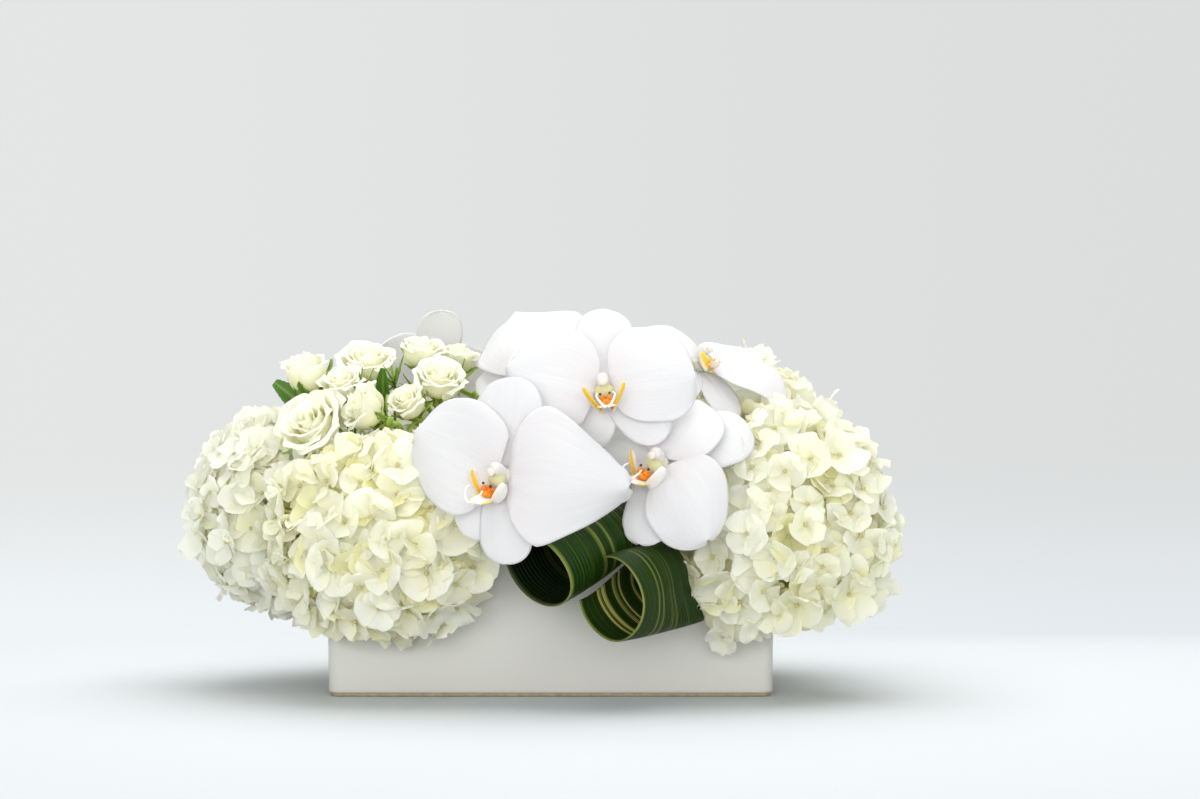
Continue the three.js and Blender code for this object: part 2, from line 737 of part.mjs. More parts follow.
function rolledLeaf(leaf) {
  const mouth = vector(leaf.mouth);
  const axis = vector(leaf.back).sub(mouth);
  const side = axis.clone().cross(new THREE.Vector3(0, 0, 1)).normalize();
  const rise = side.clone().cross(axis).normalize();
  const place = (u, v) => {
    const turn = THREE.MathUtils.lerp(leaf.turn, LEAF.backTurn, v ** LEAF.taper);
    const angle = THREE.MathUtils.degToRad(leaf.seam - turn * u);
    const low = Math.max(0, -Math.sin(angle)) ** 2;
    const radius = (k) => THREE.MathUtils.lerp(leaf.mouthRadii[k], leaf.backRadii[k], v ** LEAF.taper);
    return mouth
      .clone()
      .addScaledVector(axis, v)
      .addScaledVector(vector(leaf.tail), v * low)
      .addScaledVector(side, radius(0) * Math.cos(angle))
      .addScaledVector(rise, radius(1) * Math.sin(angle));
  };
  return joined([blade(place, 14, 4, LEAF.thickness), ...stem(leaf, LEAF)]);
}

// Assembly

const centerpiece = new THREE.Group();
const solids = [];

function add(name, solid, material) {
  centerpiece.add(meshOf(name, solid, material));
  solids.push(solid);
}

const headHoles = HEADS.flatMap((head) => stem(head, HEAD_STEM, GAP));
const otherHoles = [
  ...SPRAYS.flatMap((spray) => sprayRods(spray, GAP)),
  ...SPIKES.flatMap((spike) => spikeRods(spike, GAP)),
  ...LEAVES.flatMap((leaf) => stem(leaf, LEAF, GAP)),
];
const stemHoles = [...headHoles, ...otherHoles];

add("vase", vase(), FINISH.glaze);
add("floral_foam", foam(stemHoles), FINISH.foam);
for (const head of HEADS) add("hydrangea_stem_" + head.name, joined(stem(head, HEAD_STEM)), FINISH.stem);
for (const leaf of LEAVES) add(leaf.name, rolledLeaf(leaf), FINISH.leaf);
for (const bloom of ORCHIDS) {
  add("orchid_bloom_" + bloom.name, orchidBloom(bloom), FINISH.orchid);
  add("orchid_lip_" + bloom.name, orchidLip(bloom), FINISH.lip);
}
for (const spike of SPIKES) add(spike.name, joined(spikeRods(spike)), FINISH.stem);
for (const spray of SPRAYS) {
  add(spray.name, roseSpray(spray), FINISH.stem);
  spray.roses.forEach((bloom, k) => add(`${spray.name}_bloom_${k + 1}`, rose(bloom), FINISH.rose));
}

const cores = [];
HEADS.forEach((head, i) => {
  const before = HEADS.slice(0, i).map((other) => ellipsoid(other.centre, other.radii, CORE_SHARE, GAP));
  cores.push(headCore(head, [...before, ...stemHoles]));
});
HEADS.forEach((head, i) => {
  const others = cores.filter((_, k) => k !== i);
  const florets = headFlorets(head, cores[i], [...solids, ...others]);
  add("hydrangea_head_" + head.name, joined([cores[i], ...florets]), FINISH.hydrangea);
});

export default centerpiece;
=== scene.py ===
"""Finer petals, leaves, stems and glaze for the floral table centerpiece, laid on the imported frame.

Lengths are in millimetres until a piece is made, and the stage, lights and camera are in metres.
The front faces -Y and +Z is up.
"""

import math

import bpy
import numpy as np
from mathutils import Matrix
from mathutils.kdtree import KDTree


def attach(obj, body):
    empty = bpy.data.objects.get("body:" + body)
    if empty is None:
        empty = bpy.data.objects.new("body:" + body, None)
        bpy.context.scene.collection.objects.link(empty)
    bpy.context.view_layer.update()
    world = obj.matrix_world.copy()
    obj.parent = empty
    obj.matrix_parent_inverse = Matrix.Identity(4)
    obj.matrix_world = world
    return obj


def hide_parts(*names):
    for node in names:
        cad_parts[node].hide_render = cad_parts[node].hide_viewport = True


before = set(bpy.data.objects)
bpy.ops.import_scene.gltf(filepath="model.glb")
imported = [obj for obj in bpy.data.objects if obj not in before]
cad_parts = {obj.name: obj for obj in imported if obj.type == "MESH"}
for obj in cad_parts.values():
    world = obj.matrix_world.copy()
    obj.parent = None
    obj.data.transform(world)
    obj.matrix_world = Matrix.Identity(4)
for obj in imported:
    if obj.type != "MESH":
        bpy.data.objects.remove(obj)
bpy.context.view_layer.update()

TURN = 2 * math.pi
GOLDEN = math.pi * (3 - math.sqrt(5))

# Places and sizes: those of the solids, with what only the finer pieces need beside them

VASE = {"length": 254, "depth": 102, "height": 90, "wall": 6, "floor": 7, "corner": 8}
FOOT = {"inset": 2.2, "height": 2.0}
# How far the vase's sides lean in towards the foot, where they start and end, and its two roundings.
SIDES = {"lean": 1.1, "low": 6.0, "high": 87.0, "rim_round": 2.2, "heel_round": 1.6}
FOAM_TOP = 92.5
STEM_FOOT = 38
# A head is an ellipsoid of florets, and cream is how yellow they are.
HEADS = {
    "left_front": {"centre": (-90, -44, 92), "radii": (73, 64, 62), "seed": 3, "cream": 0.62},
    "right_front": {"centre": (122, -36, 95), "radii": (73, 62, 73), "seed": 7, "cream": 0.48},
    "left_end": {"centre": (-146, 10, 101), "radii": (66, 60, 62), "seed": 12, "cream": 0.1},
    "right_back": {"centre": (108, 48, 118), "radii": (68, 58, 76), "seed": 19, "cream": 0.6},
    "left_back": {"centre": (-86, 56, 104), "radii": (66, 56, 64), "seed": 23, "cream": 0.3},
    "middle_back": {"centre": (10, 58, 106), "radii": (60, 56, 62), "seed": 31, "cream": 0.5},
}
# Leaves are given by their start, end and width, and needles by where a tuft of them starts.
SPRAYS = {
    "rose_spray_left": {
        "foot": (-92, 8),
        "fork": (-116, -6, 142),
        "roses": [
            {
                "centre": (-143, -15, 182),
                "opens": (-0.15, -0.25, 0.95),
                "width": 29,
                "height": 27,
                "furled": True,
            },
            {"centre": (-135, -46, 153), "opens": (-0.4, -0.75, 0.6), "width": 40, "height": 26},
            {"centre": (-120, -30, 176), "opens": (-0.1, -0.5, 0.85), "width": 25, "height": 20},
        ],
        "leaves": [((-128, -10, 150), (-160, -20, 178), 15), ((-104, -24, 140), (-112, -60, 146), 11)],
        "needles": [(-109, -30, 171), (-128, -26, 158)],
    },
    "rose_spray_middle": {
        "foot": (-60, 2),
        "fork": (-91, -12, 137),
        "roses": [
            {"centre": (-104.5, -51.5, 162.5), "opens": (-0.8, -0.4, 0.45), "width": 28, "height": 24},
            {"centre": (-108, 0, 189), "opens": (0.05, -0.45, 0.9), "width": 35, "height": 22},
            {"centre": (-81.5, -34.5, 165.5), "opens": (-0.35, -0.6, 0.7), "width": 23, "height": 20},
        ],
        "leaves": [((-96, -16, 160), (-96, -33, 186), 9)],
        "needles": [(-91, -14, 176), (-97, -44, 150)],
    },
    "rose_spray_right": {
        "foot": (-40, 0),
        "fork": (-66, 4, 152),
        "roses": [
            {"centre": (-77, 5, 195), "opens": (0.1, -0.3, 0.95), "width": 27, "height": 21},
            {"centre": (-65, -20, 178), "opens": (0.1, -0.55, 0.83), "width": 31, "height": 22},
            {"centre": (-57, 26, 192), "opens": (0.2, -0.2, 0.95), "width": 25, "height": 20},
        ],
        "leaves": [],
        "needles": [(-78, -12, 172), (-56, -2, 176)],
    },
}
# Each petal of an orchid is its angle in the bloom's face in degrees, length, width and sweep back. Some
# go on with the shape of each side, the one at the greater angle first: its share of the width, how far
# out it is broadest, how full it is and, for a blunt one, the share that it keeps out to its end.
# A lip may face, turn or be sized its own way, and white_lobe is the side where its lobe isn't yellow.
ORCHIDS = {
    "1": {
        "centre": (-24, -114, 127),
        "faces": (-0.22, -0.96, 0.1),
        "lip_faces": (-0.7, -0.8, -0.02),
        "white_lobe": 1,
        "lip_size": 1.08,
        "dorsal": (86, 54, 34, 0.08, (1.34, 0.5, 2.3), (1.0, 0.55, 2.3)),
        "left": (155, 59, 62, 0.2, (1.0, 0.34, 2.0), (0.97, 0.42, 2.3)),
        "right": (-4, 67, 73, 0.18, (1.08, 0.27, 1.45, 0.36), (0.98, 0.28, 1.45, 0.3)),
        "lower_left": (234, 39, 26, 0.16),
        "lower_right": (271, 47, 30, 0.12),
    },
    "2": {
        "centre": (30, -96, 173),
        "faces": (0, -0.97, 0.22),
        "dorsal": (90, 49, 33, 0.2),
        "left": (165, 55, 54, 0.1, (0.94, 0.3, 2.0), (1.07, 0.4, 1.6)),
        "right": (10, 51, 54, 0.1, (1.17, 0.48, 2.7), (0.82, 0.52, 2.4)),
        "lower_left": (230, 32, 26, 0.3, (1.5, 0.55, 2.2), (1.0, 0.6, 2.3)),
        "lower_right": (326, 42, 27, 0.06),
    },
    "3": {
        "centre": (61, -93, 133),
        "faces": (-0.25, -0.88, 0.36),
        "lip_faces": (-0.6, -0.8, 0.22),
        "white_lobe": 1,
        "lip_turn": -22,
        "lip_size": 1.12,
        "dorsal": (34, 52, 36, 0.3),
        "left": (68, 44, 46, 0.26, (1.0, 0.5, 2.2), (1.0, 0.5, 2.2)),
        "right": (-55, 50, 52, 0.16, (1.04, 0.38, 1.8), (0.86, 0.58, 2.2)),
        "lower_left": (158, 38, 23, 0.05, (1.1, 0.55, 2.3), (1.9, 0.55, 2.3)),
        "lower_right": (258, 45, 28, 0.1),
    },
    "4": {
        "centre": (-6, -32, 182),
        "faces": (-0.25, -0.75, 0.6),
        "dorsal": (32, 34, 26, 0.3),
        "left": (119, 55, 60, 0.05, (1.05, 0.45, 1.6), (1.2, 0.5, 1.65)),
        "right": (-55, 42, 46, 0.15, (1.0, 0.45, 2.2), (1.0, 0.45, 2.2)),
        "lower_left": (178, 42, 26, 0.12),
        "lower_right": (256, 32, 24, 0.3),
    },
    "5": {
        "centre": (84, -46, 188),
        "faces": (0.3, -0.45, 0.8),
        "lip_faces": (0.7, -0.3, 0.65),
        "lip_size": 0.62,
        "dorsal": (70, 40, 32, 0.3, (1.1, 0.6, 2.4), (1.2, 0.65, 2.6)),
        "left": (128, 50, 50, 0.1, (1.0, 0.45, 2.2), (1.0, 0.5, 2.2)),
        "right": (-4, 57, 52, 0.08, (1.0, 0.55, 3.0), (1.06, 0.6, 2.7)),
        "lower_left": (215, 32, 22, 0.3),
        "lower_right": (285, 36, 24, 0.3),
    },
    "6": {
        "centre": (-72, 60, 184),
        "faces": (-0.2, 0.93, 0.25),
        "dorsal": (90, 42, 28, 0.2),
        "left": (188, 42, 40, 0.15, (1.0, 0.4, 2.1), (1.0, 0.4, 2.1)),
        "right": (12, 42, 42, 0.15, (1.0, 0.4, 2.1), (1.0, 0.4, 2.1)),
        "lower_left": (238, 36, 24, 0.2),
        "lower_right": (310, 38, 24, 0.2),
    },
}
# Each bloom of a spike is given with the place where its stalk starts.
SPIKES = {
    "orchid_spike_front": {
        "foot": (20, -8),
        "path": [(21, -10, 120), (24, -24, 158), (26, -44, 168), (27, -60, 150), (26, -72, 128)],
        "blooms": {
            "4": (23, -20, 150),
            "5": (25, -34, 165),
            "2": (26, -50, 165),
            "3": (27, -62, 147),
            "1": (26, -70, 132),
        },
    },
    "orchid_spike_back": {
        "foot": (-28, 22),
        "path": [(-32, 26, 120), (-40, 34, 160), (-48, 40, 172)],
        "blooms": {"6": (-44, 38, 168)},
    },
}
# A rolled leaf runs from its open mouth to its back. It is wound through turn degrees from its seam, and
# plain is the share of that without stripes. Tail is how far the underside of its back is drawn out, and
# one more value says how dark its inside is painted, as painted shade inside the roll.
LEAVES = {
    "rolled_leaf_left": {
        "mouth": (-6, -99, 75),
        "back": (64, -48, 111),
        "mouth_radii": (29, 21.5),
        "back_radii": (5, 5),
        "seam": 110,
        "turn": 346,
        "tail": (0, 0, 0),
        "gloom": 0.8,
        "plain": 1.0,
        "foot": (60, -26),
        "path": [(60.5, -29, 101), (62, -38, 107), (63, -46, 107)],
    },
    "rolled_leaf_right": {
        "mouth": (34, -116, 61),
        "back": (66, -73, 70),
        "mouth_radii": (21, 23),
        "back_radii": (13, 19),
        "seam": 96,
        "turn": 272,
        "tail": (16, 2, -6),
        "gloom": 0.15,
        "plain": 0.58,
        "foot": (76, -30),
        "path": [(75.5, -33, 97), (72, -46, 100), (68, -60, 98), (67, -72, 93), (66, -80, 87)],
    },
}
LEAF = {"thickness": 0.9, "taper": 2.2, "back_turn": 348, "stalk_radius": 2.3}


# Points, frames and grids


def unit(v):
    """The same ways, with length 1."""
    v = np.asarray(v, float)
    return v / np.maximum(np.linalg.norm(v, axis=-1, keepdims=True), 1e-12)


def axes_of(faces):
    """The axes of a flower: z the way it faces, y as near to straight up as it can be."""
    z = unit(faces)
    x = unit(np.cross((0, 0, 1), z))
    return np.stack([x, np.cross(z, x), z], -2)


def spun(axes, angle):
    """Axes turned about their own z."""
    c, s = math.cos(angle), math.sin(angle)
    return np.stack([c * axes[0] + s * axes[1], c * axes[1] - s * axes[0], axes[2]])


def quads(rows, columns, closed=False):
    """The faces of a grid of points; closed joins its last column to its first."""
    j, i = np.meshgrid(np.arange(rows - 1), np.arange(columns if closed else columns - 1), indexing="ij")
    k = (i + 1) % columns
    low = j * columns
    return np.stack([low + i, low + k, low + columns + k, low + columns + i], -1).reshape(-1, 4)


def smooth_path(points, steps):
    """Points along a smooth curve through the given ones, steps of them for each stretch."""
    p = np.asarray(points, float)
    p = np.concatenate([[2 * p[0] - p[1]], p, [2 * p[-1] - p[-2]]])
    out = []
    for k in range(1, len(p) - 2):
        t = np.linspace(0, 1, steps, endpoint=False)[:, None]
        a, b, c, d = p[k - 1], p[k], p[k + 1], p[k + 2]
        bend = (2 * a - 5 * b + 4 * c - d) * t**2 + (3 * b - a - 3 * c + d) * t**3
        out.append(0.5 * (2 * b + (c - a) * t + bend))
    return np.concatenate(out + [p[-2:-1]])


def stem_path(foot, places, steps, clear=FOAM_TOP):
    """Straight up out of the foam to the height called clear, and then on through the places."""
    return smooth_path([(*foot, STEM_FOOT), (*foot, clear), *places], steps)


def grid(along, columns):
    """Places along and across a sheet, shaped so that together they make its whole grid."""
    return along[:, None], np.linspace(-1, 1, columns)[None]


def points_of(x, y, z):
    """Points from their three parts, each of which may vary along or across alone."""
    return np.stack(np.broadcast_arrays(x, y, z), -1)


def placed(points, axes, centre):
    """Points given along a flower's own axes, in the shared frame."""
    return np.asarray(points, float) @ axes + centre


def ball_points(radii, rows, columns):
    """The points of an ellipsoid round the origin, row by row from its bottom."""
    rise = (np.linspace(-0.5, 0.5, rows) * math.pi)[:, None]
    around = (TURN * np.arange(columns) / columns)[None]
    ring = np.cos(rise)
    return points_of(ring * np.cos(around), ring * np.sin(around), np.sin(rise)) * radii


class Form:
    """The points and faces of one piece, with the values at its points that its material reads."""

    def __init__(self):
        self.points, self.faces, self.values, self.count = [], [], [], 0

    def add(self, points, faces, **values):
        """Each value is one number, or an array that fits the grid of the points."""
        shape = points.shape[:-1]
        self.points.append(points.reshape(-1, 3))
        self.faces.append(faces + self.count)
        self.values.append({k: np.broadcast_to(v, shape).reshape(-1) for k, v in values.items()})
        self.count += len(self.points[-1])

    def sheets(self, points, **values):
        """Thin sheets of one grid size: points are [sheet, row, column, xyz]."""
        count, rows, columns = points.shape[:3]
        starts = np.arange(count)[:, None, None] * rows * columns
        self.add(points, (quads(rows, columns)[None] + starts).reshape(-1, 4), **values)

    def slab(self, points, thickness, **values):
        """One sheet [row, column, xyz] as a closed blade of even thickness."""
        rows, columns = points.shape[:2]
        normal = unit(np.cross(np.gradient(points, axis=1), np.gradient(points, axis=0)))
        both = np.stack([points + 0.5 * thickness * normal, points - 0.5 * thickness * normal])
        index = np.arange(rows * columns).reshape(rows, columns)
        rim = np.concatenate([index[0, :-1], index[:-1, -1], index[-1, :0:-1], index[:0:-1, 0]])
        after = np.roll(rim, -1)
        face = quads(rows, columns)
        other = rows * columns
        edge = np.stack([after, rim, rim + other, after + other], -1)
        self.add(both, np.concatenate([face, face[:, ::-1] + other, edge]), **values)

    def tube(self, path, radius, sides=8, **values):
        """A round rod along a path; radius is one number or one for each point."""
        path = np.asarray(path, float)
        along = unit(np.gradient(path, axis=0))
        lean = np.eye(3)[np.argmin(np.abs(along).mean(axis=0))]
        side = unit(np.cross(along, lean))
        up = np.cross(side, along)
        angle = TURN * np.arange(sides) / sides
        radius = np.broadcast_to(radius, len(path))[:, None, None]
        ring = np.cos(angle)[None, :, None] * side[:, None] + np.sin(angle)[None, :, None] * up[:, None]
        first, last = (np.repeat(path[k : k + 1, None], sides, axis=1) for k in (0, len(path) - 1))
        points = np.concatenate([first, path[:, None] + radius * ring, last])
        self.add(points, quads(len(points), sides, True), **values)

    def blob(self, centre, radii, axes=np.eye(3), rows=9, columns=14, **values):
        """A rounded body."""
        points = placed(ball_points(radii, rows, columns), axes, centre)
        self.add(points, quads(rows, columns, True), **values)

    def cloud(self):
        """All the points of the piece."""
        return np.concatenate(self.points)


def make_piece(name, form, material, node):
    """Makes one piece in metres, in place of the solid that it stands for."""
    mesh = bpy.data.meshes.new(name)
    faces = [tuple(face) for block in form.faces for face in block.tolist()]
    mesh.from_pydata((form.cloud() / 1000).tolist(), [], faces)
    for key in sorted({key for values in form.values for key in values}):
        parts = [values.get(key, np.zeros(len(p))) for values, p in zip(form.values, form.points)]
        layer = mesh.attributes.new(key, "FLOAT", "POINT")
        layer.data.foreach_set("value", np.concatenate(parts).astype(np.float32))
    mesh.shade_smooth()
    mesh.materials.append(material)
    made = bpy.data.objects.new(name, mesh)
    bpy.context.collection.objects.link(made)
    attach(made, "root")
    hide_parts(node)


# Materials


def sum_of(operation, swapped=False):
    """The method of an operator: it adds one Math node."""

    def method(value, other):
        pair = (other, value) if swapped else (value, other)
        return value.finish.math(operation, *pair)

    return method


class Value:
    """A socket of a material that takes part in sums."""

    def __init__(self, finish, socket):
        self.finish, self.socket = finish, socket

    __add__ = __radd__ = sum_of("ADD")
    __mul__ = __rmul__ = sum_of("MULTIPLY")
    __sub__, __rsub__ = sum_of("SUBTRACT"), sum_of("SUBTRACT", swapped=True)
    __truediv__, __rtruediv__ = sum_of("DIVIDE"), sum_of("DIVIDE", swapped=True)
    __pow__ = sum_of("POWER")


class Finish:
    """The node tree of one material or of the world."""

    def __init__(self, name, owner=None):
        self.owner = owner or bpy.data.materials.new(name)
        self.owner.use_nodes = True
        self.tree = self.owner.node_tree
        self.tree.nodes.clear()

    def node(self, kind, settings=None, sockets=None, output=0):
        """Adds a node: its settings first, then the values or links of its sockets."""
        made = self.tree.nodes.new("ShaderNode" + kind)
        for key, value in (settings or {}).items():
            setattr(made, key, value)
        for key, value in (sockets or {}).items():
            if isinstance(value, Value):
                self.tree.links.new(value.socket, made.inputs[key])
            else:
                made.inputs[key].default_value = value
        return Value(self, made.outputs[output]) if made.outputs else made

    def math(self, operation, a, b=0.0, clamp=False):
        return self.node("Math", {"operation": operation, "use_clamp": clamp}, {0: a, 1: b})

    def limited(self, value):
        """A value kept between 0 and 1."""
        return self.math("ADD", value, 0.0, clamp=True)

    def step(self, value, low, high):
        """Rises smoothly from 0 to 1 as value goes from low to high."""
        sockets = {"Value": value, "From Min": low, "From Max": high}
        return self.node("MapRange", {"interpolation_type": "SMOOTHSTEP"}, sockets)

    def mix(self, factor, a, b):
        """Goes from colour a to colour b as factor goes from 0 to 1."""
        settings = {"data_type": "RGBA", "clamp_factor": True}
        return self.node("Mix", settings, {0: factor, 6: a, 7: b}, output=2)

    def value(self, name):
        """A value that the points of the piece carry."""
        return self.node("Attribute", {"attribute_name": name}, output=2)

    def place(self):
        """The place on the object itself, in metres."""
        return self.node("TexCoord", output=3)

    def vector(self, x, y, z=0.0):
        return self.node("CombineXYZ", sockets={0: x, 1: y, 2: z})

    def part(self, vector, axis):
        """One part of a vector: 0 for x, 1 for y and 2 for z."""
        return self.node("SeparateXYZ", sockets={0: vector}, output=axis)

    def length(self, vector):
        return self.node("VectorMath", {"operation": "LENGTH"}, {0: vector}, output=1)

    def noise(self, where, scale, detail=2.0, rough=0.5):
        sockets = {"Vector": where, "Scale": scale, "Detail": detail, "Roughness": rough}
        return self.node("TexNoise", sockets=sockets)

    def bump(self, height, distance, strength):
        return self.node("Bump", sockets={"Height": height, "Distance": distance, "Strength": strength})

    def surface(self, base, rough, normal, glow=0.0, through=None, **constants):
        """A plain surface, lit from behind by a share, glow, with other sockets given by their names."""
        sockets = {"Base Color": base, "Roughness": rough, "Normal": normal}
        sockets.update({name.replace("_", " "): value for name, value in constants.items()})
        shader = self.node("BsdfPrincipled", sockets=sockets)
        if glow:
            thin = self.node("BsdfTranslucent", sockets={"Color": through})
            shader = self.node("MixShader", sockets={0: glow, 1: shader, 2: thin})
        self.node("OutputMaterial", sockets={"Surface": shader})
        return self.owner


def colour(red, green, blue):
    """A colour as seen on a screen, from 0 to 255, in linear light."""
    screen = [part / 255 for part in (red, green, blue)]
    light = [part / 12.92 if part <= 0.04045 else ((part + 0.055) / 1.055) ** 2.4 for part in screen]
    return (*light, 1.0)


def glaze():
    """A soft white glaze, a little uneven, that ends at the bare clay of the foot."""
    f = Finish("white_glaze")
    foot = f.value("foot")
    broad = f.noise(f.place(), 9.0, 3.0)
    fine = f.noise(f.place(), 260.0, 2.0)
    white = f.mix(broad, colour(196, 195, 188), colour(202, 201, 194))
    clay = f.mix(f.noise(f.place(), 400.0, 3.0), colour(120, 104, 80), colour(176, 160, 130))
    return f.surface(
        f.mix(foot, white, clay),
        0.2 + 0.05 * broad + 0.6 * foot,
        f.bump(fine * 0.35 + broad, 0.0003, 0.25),
        Coat_Weight=0.25,
        Coat_Roughness=0.08,
    )


def hydrangea_petal(cream):
    """Nearly white at the rims, with a painted highlight on the rims of the outer florets, and yellower
    towards each floret's heart and down inside the head: partly the florets' own colour, partly painted
    shade.
    """
    f = Finish(f"hydrangea_petal_{round(100 * cream)}")
    rim, side, tint, depth, bead = map(f.value, ("rim", "side", "tint", "depth", "bead"))
    light = f.mix(cream * 0.5 + tint * 0.35, colour(254, 255, 253), colour(254, 253, 238))
    # deep is the colour of the head's depths: partly the inner florets' own yellow, partly painted shade.
    deep = f.mix(cream, colour(248, 249, 206), colour(246, 232, 92))
    heart = (1 - rim) ** 1.8
    # Painted shade: more in the deeper layers, on sunk florets and towards each floret's heart, with a
    # little random tone.
    shade = f.limited(0.95 * depth + heart * (0.18 + 0.26 * cream) + (tint - 0.5) * 0.3 * cream)
    veins = f.noise(f.vector(side * 9.0, rim * 1.3, tint * 9.0), 2.2, 3.0, 0.6)
    base = f.mix(shade, light, deep)
    base = f.mix(f.step(veins, 0.62, 0.4) * 0.14, base, colour(238, 238, 196))
    # Painted highlight: whiter rims on the outer florets only.
    base = f.mix(f.step(rim, 0.78, 0.98) * 0.6 * (1 - depth), base, colour(255, 255, 252))
    base = f.mix(bead, base, colour(206, 194, 122))
    return f.surface(
        base,
        0.55,
        f.bump(veins, 0.0008, 0.6),
        glow=0.42,
        through=colour(255, 255, 240 - 12 * cream),
        Specular_IOR_Level=0.3,
    )


def rose_petal():
    """Cream, and yellower down towards the root of each petal and on the inner petals: partly the rose's
    own yellow heart, partly painted shade.
    """
    f = Finish("cream_rose_petal")
    rim, side, tint, depth = map(f.value, ("rim", "side", "tint", "depth"))
    light = f.mix(tint, colour(255, 255, 251), colour(255, 254, 243))
    deep = colour(248, 243, 148)
    # Painted shade, partly the rose's own yellow: towards the root of each petal and a little on the
    # inner petals.
    shade = f.limited((1 - rim) ** 1.5 * 0.8 + depth * 0.12)
    veins = f.noise(f.vector(side * 7.0, rim * 1.2, tint * 9.0), 2.0, 3.0, 0.6)
    base = f.mix(shade, light, deep)
    base = f.mix(f.step(veins, 0.6, 0.4) * 0.1, base, colour(240, 236, 180))
    return f.surface(
        base,
        0.5,
        f.bump(veins, 0.0004, 0.4),
        glow=0.4,
        through=colour(255, 255, 238),
        Specular_IOR_Level=0.35,
    )


def orchid_petal():
    """White with a fan of fine veins, painted greyish pink shade towards the root of each petal, and
    greenish and tan parts on the column.
    """
    f = Finish("white_orchid_petal")
    rim, side, tint, green, tan = map(f.value, ("rim", "side", "tint", "green", "tan"))
    fan = f.noise(f.vector(side * 10.0, rim * 0.8, tint * 9.0), 2.4, 4.0, 0.6)
    cells = f.noise(f.place(), 900.0, 2.0)
    light = f.mix(f.step(fan, 0.35, 0.7), colour(235, 235, 236), colour(240, 240, 241))
    # Painted shade: greyish pink towards the root of each petal.
    base = f.mix(f.limited((1 - rim) ** 3 * 0.5), light, colour(232, 222, 222))
    base = f.mix(green, base, colour(230, 228, 170))
    base = f.mix(tan, base, colour(246, 236, 226))
    return f.surface(
        base,
        0.5,
        f.bump(fan * 0.8 + cells * 0.2, 0.0005, 0.5),
        glow=0.38,
        through=colour(244, 243, 244),
        Specular_IOR_Level=0.35,
        Sheen_Weight=0.1,
    )


def orchid_lip():
    """White, with yellow and orange parts, grains of red and two dark dots."""
    f = Finish("orchid_lip")
    yellow, orange, red, dark = map(f.value, ("yellow", "orange", "red", "dark"))
    grain = f.noise(f.place(), 700.0, 3.0, 0.7)
    base = f.mix(f.limited(yellow), colour(252, 250, 246), colour(252, 214, 26))
    base = f.mix(f.limited(orange * (0.6 + 0.7 * grain)), base, colour(246, 138, 14))
    base = f.mix(f.limited(red * f.step(grain, 0.42, 0.6)), base, colour(206, 60, 14))
    base = f.mix(dark, base, colour(56, 34, 18))
    return f.surface(
        base,
        0.38,
        f.bump(grain, 0.0003, 0.5),
        glow=0.12,
        through=colour(255, 220, 120),
    )


def rolled_leaf():
    """Dark green with lime and cream stripes along the leaf, a pale cut edge, and painted shade inside
    the roll.
    """
    f = Finish("striped_leaf")
    along, across, stripe, edge = map(f.value, ("along", "across", "stripe", "edge"))
    drift = f.noise(f.vector(along * 2.0, across * 0.8), 1.6, 2.0)
    lane = across + (drift - 0.5) * 0.03
    wide = f.noise(f.vector(lane * 13.0, along * 0.35, 3.1), 1.0, 1.0, 0.4)
    narrow = f.noise(f.vector(lane * 70.0, along * 0.5, 7.7), 1.0, 2.0, 0.6)
    ribs = f.math("SINE", lane * 260.0)
    dark = f.mix(narrow, colour(8, 24, 3), colour(38, 70, 15))
    lime = f.step(narrow, 0.46, 0.6) * f.step(wide, 0.46, 0.58)
    cream = f.step(wide, 0.55, 0.62) * f.step(narrow, 0.38, 0.5)
    base = f.mix(lime * (0.15 + 0.85 * stripe), dark, colour(112, 128, 36))
    base = f.mix(cream * stripe, base, colour(206, 200, 112))
    # Painted shade inside the roll.
    base = f.mix(f.value("gloom"), base, colour(4, 10, 3))
    base = f.mix(edge, base, colour(176, 182, 98))
    return f.surface(
        base,
        0.36 + 0.16 * narrow,
        f.bump(ribs * 0.4 + narrow, 0.0005, 0.6),
        glow=0.05,
        through=colour(80, 130, 20),
        Specular_IOR_Level=0.12,
    )


def green_stem():
    """Light green for stems and calyxes, and darker where tint is high, for leaves and needles."""
    f = Finish("green_stem")
    tint, rim = map(f.value, ("tint", "rim"))
    patches = f.noise(f.place(), 90.0, 3.0)
    lines = f.noise(f.place(), 700.0, 2.0)
    base = f.mix(patches, colour(122, 150, 48), colour(164, 190, 82))
    base = f.mix(tint, base, f.mix(patches, colour(50, 92, 24), colour(92, 138, 42)))
    base = f.mix(rim * 0.35, base, colour(186, 206, 100))
    return f.surface(
        base,
        0.45,
        f.bump(lines, 0.0003, 0.4),
        glow=0.1,
        through=colour(150, 190, 70),
        Specular_IOR_Level=0.4,
    )


def wet_foam():
    """Dark green with fine pores."""
    f = Finish("wet_foam")
    grain = f.noise(f.place(), 1500.0, 4.0, 0.8)
    base = f.mix(grain, colour(26, 46, 24), colour(62, 92, 52))
    return f.surface(base, 0.85, f.bump(grain, 0.001, 0.8))


# Vase


def rounded_ring(inset, z, points=9):
    """One closed line round the vase, drawn in by inset."""
    radius = max(VASE["corner"] - inset, 1.2)
    x, y = VASE["length"] / 2 - inset - radius, VASE["depth"] / 2 - inset - radius
    corners = []
    for k, (sx, sy) in enumerate([(1, 1), (-1, 1), (-1, -1), (1, -1)]):
        angle = np.linspace(k, k + 1, points) * math.pi / 2
        corners.append(np.stack([sx * x + radius * np.cos(angle), sy * y + radius * np.sin(angle)], -1))
    ring = np.concatenate(corners)
    return np.column_stack([ring, np.full(len(ring), z)])


def arc(centre_inset, centre_z, radius, start, end, steps=6):
    """A rounding of the vase's outline, between two angles in degrees."""
    angle = np.radians(np.linspace(start, end, steps))
    return [(centre_inset - radius * math.cos(a), centre_z + radius * math.sin(a)) for a in angle]


